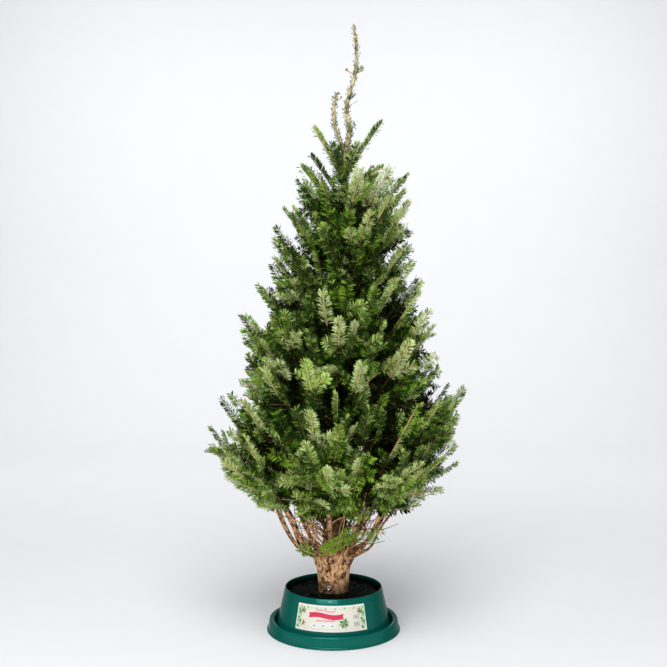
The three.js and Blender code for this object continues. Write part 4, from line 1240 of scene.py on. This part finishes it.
class FIR_OT_leader(bpy.types.Operator):
    """Needles of the two leaders, short and sparse, standing out all round, and the second leader's bark with
    its stubs
    """

    bl_idname = "fir.leader"
    bl_label = "Leaders"

    def execute(self, context):
        s = context.scene.fir_crown
        rng = np.random.default_rng(s.seed + 17)
        z = np.linspace(1.50, 1.985, 40)
        main = trunk_centre(z)
        second = through(SECOND_LEADER, None, 22)
        share = np.linspace(0, 1, 22)
        parts = [swept(second, 0.0060 - 0.0018 * share, 10, 0.05, 1.0)]
        for start, end, radius in LEADER_STUBS:
            path = np.linspace(start, end, 6)
            path[1:5, 2] -= 0.0015
            parts.append(swept(path, np.linspace(radius * 1.3, radius, 6), 8, 0.05))
        bark = bark_material("Leader bark", 70.0, 420.0, tuple(s.leader_light), LEADER_DARK)
        new_piece("second_leader_bark", *joined(parts), bark, "bark", ["second_leader"])
        rows = []
        for line in (main, second):
            for p, q in zip(line[:-1], line[1:]):
                up = unit(np.cross(unit(q - p), unit(rng.normal(0, 1, 3))))
                rows.append([*p, *q, *up, 0, 0, 0, 1])
        rows = np.array(rows)
        density = at(LEADER_DENSITY, rows[:, SHOOT["q"]][:, 2])
        root, heading, normal, size, own, _ = shoot_needles(rows, s, density, rng, LEADER_LENGTH, True)
        axis = unit(rows[own, SHOOT["q"]] - rows[own, SHOOT["p"]])
        radial = unit(heading - axis * np.sum(heading * axis, axis=1, keepdims=True))
        stem = at(TRUNK_RADIUS, root[:, 2])
        root = root + radial * np.where(own < len(main) - 1, stem, 0.0036)[:, None]
        sweep = np.where(rng.random(len(own)) < 0.5, *SWEPT_UP)[:, None]
        points, upper, lower = needle_faces(root, unit(heading + axis * sweep), normal, size, LEADER_WIDTH)
        for face, faces in (("top", upper), ("under", lower)):
            material = plain_material(f"leader needles {face}", LEADER_NEEDLES[face], 0.5, DULL_SHINE)
            new_piece(f"leader_needles_{face}", points, faces, material, "foliage",
                      ["leader_mass", "second_leader"], smooth=False)
        return {"FINISHED"}


# Heights of the bud clusters on the leader, and buds in each cluster there and on a stub.
BUD_CLUSTERS = (1.9965, 1.955, 1.845, 1.728)
BUDS_IN_CLUSTER, BUDS_ON_STUB = 5, 4
# Length of a bud at a shoot's end, beside it, in a cluster and on a stub; radius over length.
BUD_LENGTHS, BUD_ROUND = (0.0052, 0.0036, 0.0075, 0.0065), 0.36
COLLAR_RADIUS, COLLAR_REACH = 0.0034, 0.0045


def outer_shoots(keep):
    """The rows of the outer shoots whose age passes a test, with their ends and directions."""
    rows = crown_shoots()
    rows = rows[keep(rows) & (rows[:, SHOOT["depth"]] < SHADE_DEPTH)]
    return rows, rows[:, SHOOT["q"]], unit(rows[:, SHOOT["q"]] - rows[:, SHOOT["p"]])


def bud_places(rng):
    """Start, direction and length of every bud: three at each outer shoot's end, clusters on the leaders."""
    rows, tip, axis = outer_shoots(lambda rows: rows[:, SHOOT["age"]] == 0)
    side = np.cross(axis, rows[:, SHOOT["up"]])
    middle, beside, clustered, on_stub = BUD_LENGTHS
    starts, sizes = [tip, tip, tip], [np.full(len(tip), middle), np.full(2 * len(tip), beside)]
    aims = [axis, unit(axis + 0.8 * side), unit(axis - 0.8 * side)]
    centres = [trunk_centre(np.array([z])) for z in BUD_CLUSTERS] + [SECOND_LEADER[-1:]]
    for centre in centres:
        aim = unit(rng.normal(0, 0.6, (BUDS_IN_CLUSTER, 3)) + [0, 0, 0.6])
        starts.append(np.repeat(centre - [[0, 0, 0.004]], BUDS_IN_CLUSTER, 0) + aim * 0.003)
        aims.append(aim)
        sizes.append(np.full(BUDS_IN_CLUSTER, clustered))
    for end in STUB_ENDS:
        starts.append(np.repeat([end], BUDS_ON_STUB, 0))
        aims.append(unit(rng.normal(0, 0.7, (BUDS_ON_STUB, 3)) + [0, 0, 0.2]))
        sizes.append(np.full(BUDS_ON_STUB, on_stub))
    return np.concatenate(starts), np.concatenate(aims), np.concatenate(sizes)


class FIR_OT_buds(bpy.types.Operator):
    """Winter buds: three blunt eggs at the end of every outer shoot and clusters on the leaders"""

    bl_idname = "fir.buds"
    bl_label = "Buds"

    def execute(self, context):
        starts, aims, sizes = bud_places(np.random.default_rng(context.scene.fir_crown.seed + 23))
        wide = sizes * BUD_ROUND
        middle, end = starts + aims * (sizes * 0.45)[:, None], starts + aims * sizes[:, None]
        up = np.where(np.abs(aims[:, 2:]) < 0.9, [[0.0, 0.0, 1.0]], [[1.0, 0.0, 0.0]])
        lower = prisms(starts - aims * 0.001, middle, up, wide * 0.6, wide)
        upper = prisms(middle, end, up, wide, wide * 0.25)
        scales = bark_material("Bud scales", 120.0, 700.0, (0.46, 0.29, 0.12), (0.22, 0.13, 0.05))
        new_piece("buds", *joined([lower, upper]), scales, "foliage", FOLIAGE_NODES, smooth=False)
        rows, place, axis = outer_shoots(
            lambda rows: (rows[:, SHOOT["age"]] >= 1) & (rows[:, SHOOT["tint"]] > MID))
        up, thick = rows[:, SHOOT["up"]], np.full(len(rows), COLLAR_RADIUS)
        lower = prisms(place - axis * COLLAR_REACH, place, up, thick * 0.6, thick, 5)
        upper = prisms(place, place + axis * COLLAR_REACH, up, thick, thick * 0.6, 5)
        collar = bark_material("Shoot collars", 120.0, 700.0, (0.42, 0.23, 0.090), (0.22, 0.11, 0.040))
        new_piece("shoot_collars", *joined([lower, upper]), collar, "foliage", FOLIAGE_NODES, smooth=False)
        return {"FINISHED"}


# ---------------------------------------------------------------- the stand

POT_BASE, POT_FOOT, POT_RIM, POT_TOP, POT_WALL = 0.0043, 0.192, 0.1605, 0.142, 0.0035
FILL_LEVEL, FILL_HEAP, HEAP_RADIUS = 0.116, 0.010, 0.072
LABEL = {"low": 0.0455, "high": 0.1235, "half": math.radians(38.5), "azimuth": math.radians(267),
         "lift": 0.0011, "droop": 0.0008}


def pot_radius(z):
    """The pot's outer radius at a height: a line from its foot to its rim."""
    return np.interp(z, [POT_BASE, POT_TOP], [POT_FOOT, POT_RIM])


# The plastic mirrors the lights in these colours where it faces the eye, and little of the room where it
# turns away: the range of the facing value, and the specular level at its ends.
PLASTIC_GLEAM = (0.28, 1.0, 0.95)
TURNING_AWAY, SHINE_RANGE = (0.20, 0.40), (0.42, 0.02)
# Heights between which the pot's inside is darkened towards the well as painted shade, how much, and the
# painted shade's near-black colour.
INSIDE_SHADE_HEIGHTS, INSIDE_SHADE_SHARE, INSIDE_SHADE_COLOUR = (0.1405, 0.130), 0.96, (0.0008, 0.004, 0.003, 1.0)
STAND_STEPS = 192
RING_PROFILE = [
    (0.0, 0.0), (0.221, 0.0), (0.221, 0.0042), (0.2178, 0.0052), (0.2166, 0.0075), (0.2135, 0.0300),
    (0.2115, 0.0382), (0.2035, 0.0374), (0.1965, 0.0352), (0.1952, 0.0060), (0.1935, 0.0040), (0.0, 0.0040),
]
POT_FLOOR = 0.0083
MOULDED_MARK = (-0.065, 0.025, 1.130, 1.180)


def plastic_material(s):
    """Green plastic with painted shade that turns it nearly black on the inside of the pot, where it is under
    the pot's cone.
    """
    plastic = speckled_material(
        "Green plastic", tuple(s.green), (0.003, 0.12, 0.095), 0.06, 22.0, s.roughness, 0.02, 0.10)
    tree = plastic.node_tree
    shader = tree.nodes["Principled BSDF"]
    shader.inputs["Specular Tint"].default_value = colour(PLASTIC_GLEAM)
    facing = node(tree, "ShaderNodeLayerWeight", {"Blend": 0.5}).outputs["Facing"]
    tree.links.new(mapped(tree, facing, *TURNING_AWAY, *SHINE_RANGE), shader.inputs["Specular IOR Level"])
    xyz = node(tree, "ShaderNodeSeparateXYZ", {"Vector": object_place(tree)}).outputs
    flat = node(tree, "ShaderNodeCombineXYZ", {"X": xyz["X"], "Y": xyz["Y"]}).outputs["Vector"]
    away = node(tree, "ShaderNodeVectorMath", {0: flat}, operation="LENGTH").outputs["Value"]
    slope = (POT_FOOT - POT_RIM) / (POT_TOP - POT_BASE)
    cone = worked(tree, "MULTIPLY_ADD", xyz["Z"], slope, away)
    inside = worked(tree, "LESS_THAN", cone, POT_FOOT + slope * POT_BASE - POT_WALL / 2)
    # Painted shade: the inside of the pot darkens towards the well.
    low = mapped(tree, xyz["Z"], *INSIDE_SHADE_HEIGHTS, 0.0, INSIDE_SHADE_SHARE)
    # The plastic's own colour, before the painted shade.
    dry = shader.inputs["Base Color"].links[0].from_socket
    tone = blended(tree, worked(tree, "MULTIPLY", inside, low), dry, INSIDE_SHADE_COLOUR)
    tree.links.new(tone, shader.inputs["Base Color"])
    return plastic


def pot_profile(band):
    """The pot's section: foot, wall, a smooth band under the rim, the rim and the wall's inner side."""
    low, top = POT_TOP - band, POT_TOP
    return rounded([
        (0.0, POT_BASE), (POT_FOOT, POT_BASE), (float(pot_radius(low - 0.0015)), low - 0.0015),
        (float(pot_radius(low)) + 0.0010, low), (POT_RIM + 0.0004, top - 0.002),
        (POT_RIM - 0.0006, top), (POT_RIM - POT_WALL, top - 0.001),
        (float(pot_radius(POT_FLOOR)) - POT_WALL, POT_FLOOR), (0.0, POT_FLOOR),
    ], 0.0012)


class FIR_OT_stand(bpy.types.Operator):
    """Ring and pot of the stand: surfaces of revolution over profiles with rounded edges"""

    bl_idname = "fir.stand"
    bl_label = "Stand"

    def execute(self, context):
        s = context.scene.fir_stand
        plastic = plastic_material(s)
        ring = revolved(rounded(RING_PROFILE, 0.0045, 7), STAND_STEPS)
        new_piece("stand_ring_shell", *ring, plastic, "green_plastic", ["stand_ring"])
        pot = revolved(pot_profile(s.band_height), STAND_STEPS)
        new_piece("stand_pot_shell", *pot, plastic, "green_plastic", ["stand_pot"])
        # A small patch under the rim, lighter than the plastic.
        points, faces = panel(*MOULDED_MARK, 0.0020, 0.5)
        lighter_patch = speckled_material("Moulded mark", (0.10, 0.34, 0.29), (0.30, 0.50, 0.45), 0.6, 420.0, 0.4)
        new_piece("moulded_mark", points, faces[:, ::-1], lighter_patch, "green_plastic")
        return {"FINISHED"}


# The well: points round it and rings, its edge and underside, its lumps and where they stand out; and how
# many needles lie on it, how wide they are and the share of brown ones.
FILL_STEPS, FILL_RINGS = 96, 40
FILL_EDGE, FILL_BOTTOM = 0.155, 0.0086
LUMP_HEIGHT = 0.003
LUMP_SHARE = np.array([[0, 0], [0.05, 0.2], [0.07, 1], [0.14, 1], [FILL_EDGE, 0]])
FALLEN, FALLEN_WIDTH, FALLEN_BROWN = 2600, 0.0022, 0.03
# Distances from the middle: clear of the trunk, the farthest root, and clear of the pot's wall.
FALLEN_FROM, FALLEN_ROOT, FALLEN_TO = 0.052, 0.150, 0.151


def fill_height(r, a):
    """The well's height at a distance and an angle: level, plus a heap that falls off outwards, plus lumps of
    three sines."""
    lumps = (np.sin(5 * a + 90 * r) + np.sin(3 * a - 140 * r + 1) + np.sin(9 * a + 210 * r)) / 3
    heap = FILL_HEAP * np.interp(r, [HEAP_RADIUS, FILL_EDGE], [1, 0])
    return FILL_LEVEL + heap + LUMP_HEIGHT * lumps * at(LUMP_SHARE, r)


def well_surface():
    """The well's lumpy top and its flat underside, joined round the edge."""
    reach = float(pot_radius(FILL_LEVEL)) - POT_WALL - 0.0008
    r = np.linspace(0, 1, FILL_RINGS)[:, None] * reach
    angle = np.arange(FILL_STEPS) / FILL_STEPS * FULL_TURN
    top = np.stack([r * np.cos(angle), r * np.sin(angle), fill_height(r, angle)], axis=-1)
    bottom = top.copy()[::-1]
    bottom[..., 2] = FILL_BOTTOM
    points = np.concatenate([top, bottom]).reshape(-1, 3)
    return points, grid_faces(2 * FILL_RINGS, FILL_STEPS)[:, ::-1]


def fallen_needles(rng):
    """Points, upper and lower faces of needles that lie on the well at all angles, clear of the wall."""
    r = rng.uniform(FALLEN_FROM ** 2, FALLEN_ROOT ** 2, FALLEN) ** 0.5
    a = rng.uniform(0, FULL_TURN, FALLEN)
    turn = rng.uniform(0, FULL_TURN, FALLEN)
    heading = unit(np.column_stack([np.cos(turn), np.sin(turn), rng.normal(0, 0.16, FALLEN)]))
    height = fill_height(r, a) + rng.uniform(0.0006, 0.003, FALLEN)
    root = np.column_stack([r * np.cos(a), r * np.sin(a), height])
    size = rng.uniform(0.014, 0.023, FALLEN)
    away = np.hypot(*(root + heading * size[:, None])[:, :2].T)
    keep = (away < FALLEN_TO) & (away > FALLEN_FROM)
    normal = unit(rng.normal(0, 0.25, (FALLEN, 3)) + [0, 0, 1])
    normal = unit(normal - heading * np.sum(normal * heading, axis=1, keepdims=True))
    return needle_faces(root[keep], heading[keep], normal[keep], size[keep], FALLEN_WIDTH)


class FIR_OT_well(bpy.types.Operator):
    """The dark well: a lumpy disc round the trunk, with fallen needles strewn over it"""

    bl_idname = "fir.well"
    bl_label = "Well and fallen needles"

    def execute(self, context):
        rng = np.random.default_rng(context.scene.fir_crown.seed + 31)
        filling = speckled_material(
            "Well filling", (0.0005, 0.0011, 0.0008), (0.004, 0.004, 0.003), 0.3, 160.0, 0.7, 0.6, 0.02)
        new_piece("well_surface", *well_surface(), filling, "well_filling", ["stand_fill"])
        points, upper, lower = fallen_needles(rng)
        brown = rng.random(len(points) // 4) < FALLEN_BROWN
        for name, chosen, shade in (("fallen_needles_dry", brown, (0.110, 0.115, 0.040)),
                                    ("fallen_needles_green", ~brown, (0.0016, 0.0070, 0.0030))):
            pick = np.repeat(chosen, 2)
            faces = np.concatenate([upper[pick], lower[pick]])
            material = plain_material(name.replace("_", " "), shade, 0.6, DULL_SHINE)
            new_piece(name, points, faces, material, "well_filling", ["stand_fill"], smooth=False)
        return {"FINISHED"}


BOLT_AZIMUTH, BOLT_START = math.radians(256), 0.0485
BOLT_PROFILE = [
    (0.0, 0.0), (0.0072, 0.0), (0.0072, 0.0145), (0.0050, 0.0168), (0.0036, 0.0160), (0.0, 0.0160),
]


class FIR_OT_bolt(bpy.types.Operator):
    """The bolt that bites into the trunk: a turned cylinder with a bevelled, dished end"""

    bl_idname = "fir.bolt"
    bl_label = "Clamp bolt"

    def execute(self, context):
        low, high = map(np.array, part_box("clamp_bolt"))
        height = (low[2] + high[2]) / 2
        points, faces = revolved(rounded(BOLT_PROFILE, 0.0008), 48)
        out = np.array([math.cos(BOLT_AZIMUTH), math.sin(BOLT_AZIMUTH), 0.0])
        across = np.array([-out[1], out[0], 0.0])
        placed_points = (out * (BOLT_START + points[:, 2:]) + across * points[:, :1]
                         + np.array([0.0, 0.0, 1.0]) * points[:, 1:2] + [0, 0, height])
        steel = speckled_material("Bolt steel", (0.86, 0.85, 0.82), (0.16, 0.14, 0.12), 0.6, 260.0, 0.22)
        steel.node_tree.nodes["Principled BSDF"].inputs["Metallic"].default_value = 1.0
        new_piece("bolt", placed_points, faces, steel, "bolt_steel", ["clamp_bolt"])
        return {"FINISHED"}


def on_label(u, v, lift):
    """A point of the card: u from -1 to 1 across, v from 0 to 1 upwards, on the cone of the pot's wall, with
    the ends drooping by the square of u."""
    z = LABEL["low"] + v * (LABEL["high"] - LABEL["low"]) - LABEL["droop"] * u ** 2
    a = LABEL["azimuth"] + u * LABEL["half"]
    r = pot_radius(z) + LABEL["lift"] + lift
    return np.stack([r * np.cos(a), r * np.sin(a), z], axis=-1)


# Half the card's width over its height, so that motifs keep their shape.
CARD_ASPECT = 1.54


def lens(u, v, turn, length, width, lift, columns=9):
    """A pointed oval on the card: across = width sin(pi t), along = length (t - 1/2), turned by an angle."""
    t = np.linspace(0, 1, columns)[:, None]
    edge = np.array([-1.0, 1.0])[None]
    x = length * (t - 0.5) + 0 * edge
    y = width / 2 * np.sin(math.pi * t) * edge
    du = (x * math.cos(turn) - y * math.sin(turn)) / CARD_ASPECT
    dv = x * math.sin(turn) + y * math.cos(turn)
    return on_label(u + du, v + dv, lift).reshape(-1, 3), grid_faces(columns, 2, closed=False)


def panel(u0, u1, v0, v1, lift, round_by=0.0, columns=28):
    """A panel of the card between two u and two v, with ends rounded by a share of its height."""
    t = np.linspace(-1, 1, columns)[:, None]
    half = (v1 - v0) / 2
    pinch = 1 - round_by * (1 - np.sqrt(np.clip(1 - np.abs(t) ** 12, 0, 1)))
    v = (v0 + v1) / 2 + half * pinch * np.linspace(-1, 1, 5)[None]
    u = (u0 + u1) / 2 + (u1 - u0) / 2 * t + 0 * v
    return on_label(u, v, lift).reshape(-1, 3), grid_faces(columns, 5, closed=False)


def ribbon(u0, u1, v0, height, wave, lift, columns=36):
    """A waving band of the card: v = v0 + wave sin(2 pi t), with forked ends."""
    t = np.linspace(0, 1, columns)[:, None]
    rows = np.array([-0.5, 0.0, 0.5])[None]
    notch = 0.04 * (1 - 2 * np.abs(rows)) * np.where(t < 0.5, 1, -1) * (np.abs(t - 0.5) > 0.49)
    u = u0 + (u1 - u0) * t + notch
    v = v0 + wave * np.sin(FULL_TURN * t) + height * rows
    return on_label(u, v, lift).reshape(-1, 3), grid_faces(columns, 3, closed=False)


CARD_COLUMNS, CARD_BACK, CARD_SEED = 60, -0.0007, 5
# Prints lie over the card, each a little above the one under it, in these colours.
INKS = {
    "card_cream": (0.645, 0.61, 0.535),
    "card_rose": (0.54, 0.018, 0.068),
    "card_pink": (0.66, 0.25, 0.34),
    "card_white": (0.66, 0.65, 0.64),
    "card_sage": (0.42, 0.44, 0.42),
    "card_leaves": (0.20, 0.41, 0.16),
    "card_dark_leaves": (0.050, 0.20, 0.080),
    "card_light_leaves": (0.40, 0.66, 0.36),
    "card_berries": (0.64, 0.045, 0.06),
}
# Rosettes of leaves: u, v, leaves and span.
ROSETTES = ((0.36, 0.32, 8, 0.44), (-0.80, 0.76, 6, 0.30), (-0.76, 0.28, 5, 0.24), (0.82, 0.76, 6, 0.30))
LEAF_WIDTH = 0.46  # of a rosette's leaf over its length


def card_panels():
    """The panels and ribbons of the card, by print."""
    return {
        "card_cream": [panel(-0.965, 0.965, 0.05, 0.95, 0.00012, 0.2)],
        "card_rose": [ribbon(-0.62, 0.36, 0.60, 0.19, 0.045, 0.00022)],
        "card_pink": [ribbon(-0.42, 0.14, 0.80, 0.05, 0.030, 0.00024),
                      ribbon(-0.40, 0.12, 0.42, 0.055, 0.0, 0.00024)],
        "card_white": [panel(-0.58, 0.16, 0.13, 0.33, 0.00022, 0.5)],
        "card_sage": [panel(0.62, 0.80, 0.46, 0.62, 0.00022, 0.5),
                      panel(0.62, 0.80, 0.18, 0.36, 0.00022, 0.5)],
    }


def card_sprigs(rng):
    """The leaves and berries of the card, by print: garlands down its sides and along its top, rosettes with
    berries at their middles, and sprigs on the white panel."""
    leaves, dark_leaves, light_leaves, berries = [], [], [], []
    for side in (-0.905, 0.905):
        for i, v in enumerate(np.linspace(0.13, 0.87, 8)):
            for k in (-1, 1):
                turn = math.radians(90 + 48 * k + rng.uniform(-14, 14))
                target = (leaves, dark_leaves, light_leaves)[(i + k) % 3]
                du = k * -0.025 + rng.uniform(-0.01, 0.01)
                target.append(lens(side + du, v, turn, 0.17, 0.085, 0.00028 + 0.00002 * k))
    for i, u0 in enumerate(np.linspace(-0.80, 0.78, 13)):
        turn = math.radians(180 * (i % 2) + rng.uniform(-40, 40))
        (light_leaves, leaves)[i % 2].append(lens(u0, 0.885, turn, 0.13, 0.055, 0.00028))
    for u0, v0, count, span in ROSETTES:
        for k in range(count):
            turn = k * FULL_TURN / count + 0.3
            length = span * rng.uniform(0.85, 1.1) / 2
            du, dv = 0.5 * length * math.cos(turn) / CARD_ASPECT, 0.5 * length * math.sin(turn)
            (leaves, dark_leaves)[k % 2].append(
                lens(u0 + du, v0 + dv, turn, length, length * LEAF_WIDTH, 0.00032 + 0.00003 * k))
        for k in range(3):
            berries.append(lens(u0 + 0.016 * math.cos(2.1 * k), v0 + 0.025 * math.sin(2.1 * k), 0.0,
                                0.055, 0.055, 0.00062, 7))
    for u0 in (-0.44, -0.20, 0.04):
        dark_leaves.append(lens(u0, 0.23, 0.6, 0.10, 0.05, 0.0003))
        light_leaves.append(lens(u0 + 0.05, 0.23, 2.2, 0.08, 0.04, 0.0003))
    for v0 in (0.54, 0.27):
        berries.append(lens(0.71, v0, 0.0, 0.06, 0.06, 0.0003, 7))
    return {"card_leaves": leaves, "card_dark_leaves": dark_leaves, "card_light_leaves": light_leaves,
            "card_berries": berries}


class FIR_OT_label(bpy.types.Operator):
    """The card on the pot: a white card with a cream panel, leaf garlands, rose ribbons and berries"""

    bl_idname = "fir.label"
    bl_label = "Card"

    def execute(self, context):
        u, last = np.linspace(-1, 1, CARD_COLUMNS), 4 * CARD_COLUMNS - 1
        rings = [(0, CARD_BACK), (0, 0.0), (1, 0.0), (1, CARD_BACK)]
        loop = np.stack([on_label(u, np.full(CARD_COLUMNS, float(v)), lift) for v, lift in rings], axis=1)
        caps = np.array([[0, 1, 2, 3], [last, last - 1, last - 2, last - 3]])
        faces = np.concatenate([grid_faces(CARD_COLUMNS, 4)[:, ::-1], caps])
        card = speckled_material("Card white", (0.70, 0.72, 0.67), (0.6, 0.6, 0.55), 0.1, 60.0, 0.45)
        new_piece("card", loop.reshape(-1, 3), faces, card, "label_card", ["stand_label"], False)
        prints = {**card_panels(), **card_sprigs(np.random.default_rng(CARD_SEED))}
        for name, parts in prints.items():
            points, faces = joined(parts)
            dust = tuple(min(1.0, 1.3 * c + 0.05) for c in INKS[name])
            ink = speckled_material(name.replace("_", " "), INKS[name], dust, 0.25, 220.0, 0.45)
            new_piece(name, points, faces[:, ::-1], ink, "label_card", ["stand_label"])
        return {"FINISHED"}


# ---------------------------------------------------------------- studio

# The backdrop's half width, the floor's front and back, the bend's radius and the wall above it; and the
# shares of its length where the floor ends and the wall begins.
PAPER_HALF, PAPER_FRONT, PAPER_BACK, PAPER_BEND, PAPER_WALL = 9.0, -7, 4.0, 2.2, 5
FLOOR_SHARE, BEND_SHARE, WALL_SHARE = 0.45, 0.25, 0.7
PAPER_ROWS = 60
SKY_COLOUR = (0.97, 0.98, 1.0, 1.0)
# Soft lights: place, aim, size, and power as a share of the key light's.
LIGHTS = {
    "Key": ((-0.1, -2.5, 4.5), (0, 0, 0.7), (3.2, 2.2), 1.0),
    "Fill": ((-1.2, -4.6, 2.0), (0, 0, 0.7), (4.0, 1.2), 0.74),
    "Backdrop left": ((-2.2, 2.6, 3.8), (-1.9, 6.2, 1.3), (2.6, 2.0), 0.36),
    "Backdrop right": ((2.2, 2.6, 3.8), (1.9, 6.2, 1.3), (2.6, 2.0), 0.37),
}
SENSOR_WIDTH = 36


def backdrop():
    """The paper: a level floor, a quarter turn upwards and an upright wall, as an object."""
    t = np.linspace(0, 1, PAPER_ROWS)
    bend = np.radians(90) * np.clip((t - FLOOR_SHARE) / BEND_SHARE, 0, 1)
    y = np.interp(t, [0, FLOOR_SHARE], [PAPER_FRONT, PAPER_BACK]) + PAPER_BEND * np.sin(bend)
    z = PAPER_BEND * (1 - np.cos(bend)) + np.interp(t, [WALL_SHARE, 1], [0, PAPER_WALL])
    x = np.array([-PAPER_HALF, PAPER_HALF])
    points = np.stack([x[None] + 0 * t[:, None], y[:, None] + 0 * x, z[:, None] + 0 * x], axis=-1)
    faces = grid_faces(PAPER_ROWS, 2, closed=False)[:, ::-1]
    mesh = bpy.data.meshes.new("studio_floor")
    mesh.from_pydata(points.reshape(-1, 3).tolist(), [], faces.tolist())
    mesh.polygons.foreach_set("use_smooth", np.full(len(mesh.polygons), True))
    mesh.materials.append(
        speckled_material("Studio paper", (0.80, 0.805, 0.822), (0.76, 0.76, 0.78), 0.2, 3.0, 0.9))
    return bpy.data.objects.new("studio_floor", mesh)


def soft_light(name, place, aim, size, power):
    """A rectangular lamp at a place that faces an aim."""
    data = bpy.data.lights.new(name, "AREA")
    data.shape = "RECTANGLE"
    data.size, data.size_y = size
    data.energy = power
    lamp = bpy.data.objects.new(name, data)
    lamp.location = place
    toward = np.array(aim) - np.array(place)
    lamp.rotation_euler = (
        math.atan2(math.hypot(toward[0], toward[1]), -toward[2]), 0,
        math.atan2(toward[1], toward[0]) - math.pi / 2)
    return lamp


def level_camera(s):
    """The camera in front of the tree, pitched a little downwards."""
    data = bpy.data.cameras.new("Camera")
    data.lens = s.lens
    data.sensor_width = SENSOR_WIDTH
    camera = bpy.data.objects.new("Camera", data)
    camera.location = (0.0, -s.distance, s.height)
    camera.rotation_euler = (math.radians(90 - s.pitch), 0, 0)
    return camera


class FIR_OT_studio(bpy.types.Operator):
    """Floor that curves up into a backdrop, soft lights and the camera"""

    bl_idname = "fir.studio"
    bl_label = "Studio"

    def execute(self, context):
        scene, s = context.scene, context.scene.fir_studio
        floor = backdrop()
        scene.collection.objects.link(floor)
        world = bpy.data.worlds.new("Studio light")
        world.use_nodes = True
        world.node_tree.nodes["Background"].inputs["Color"].default_value = SKY_COLOUR
        world.node_tree.nodes["Background"].inputs["Strength"].default_value = s.sky
        scene.world = world
        for name, (place, aim, size, share) in LIGHTS.items():
            scene.collection.objects.link(soft_light(name, place, aim, size, s.key * share))
        scene.camera = level_camera(s)
        scene.collection.objects.link(scene.camera)
        scene.view_settings.view_transform = "Standard"
        scene.view_settings.look = "None"
        return {"FINISHED"}


class FIR_PT_panel(bpy.types.Panel):
    """Lists the builder's operators and settings"""

    bl_label = "Fir tree"
    bl_idname = "FIR_PT_panel"
    bl_space_type = "VIEW_3D"
    bl_region_type = "UI"
    bl_category = "Fir tree"

    def draw(self, context):
        for title, settings in (("Crown", context.scene.fir_crown), ("Stand", context.scene.fir_stand),
                                ("Studio", context.scene.fir_studio)):
            box = self.layout.box()
            box.label(text=title)
            for key in settings.bl_rna.properties.keys():
                if key not in ("rna_type", "name"):
                    box.prop(settings, key)
        for operator in OPERATORS:
            self.layout.operator(operator.bl_idname)


OPERATORS = (FIR_OT_studio, FIR_OT_trunk, FIR_OT_limbs, FIR_OT_twigs, FIR_OT_needles, FIR_OT_leader,
             FIR_OT_buds, FIR_OT_stand, FIR_OT_well, FIR_OT_bolt, FIR_OT_label)
SETTINGS = {"fir_crown": FirCrownSettings, "fir_stand": FirStandSettings, "fir_studio": FirStudioSettings}


def register():
    """Registers the classes and hangs the settings on the scene."""
    for kind in (*SETTINGS.values(), *OPERATORS, FIR_PT_panel):
        bpy.utils.register_class(kind)
    for key, kind in SETTINGS.items():
        setattr(bpy.types.Scene, key, PointerProperty(type=kind))


def unregister():
    """Takes away what register adds."""
    for key in SETTINGS:
        delattr(bpy.types.Scene, key)
    for kind in (FIR_PT_panel, *reversed(OPERATORS), *SETTINGS.values()):
        bpy.utils.unregister_class(kind)


def main():
    register()
    for operator in OPERATORS:
        group, name = operator.bl_idname.split(".")
        getattr(getattr(bpy.ops, group), name)()
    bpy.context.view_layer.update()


if __name__ == "__main__":
    main()
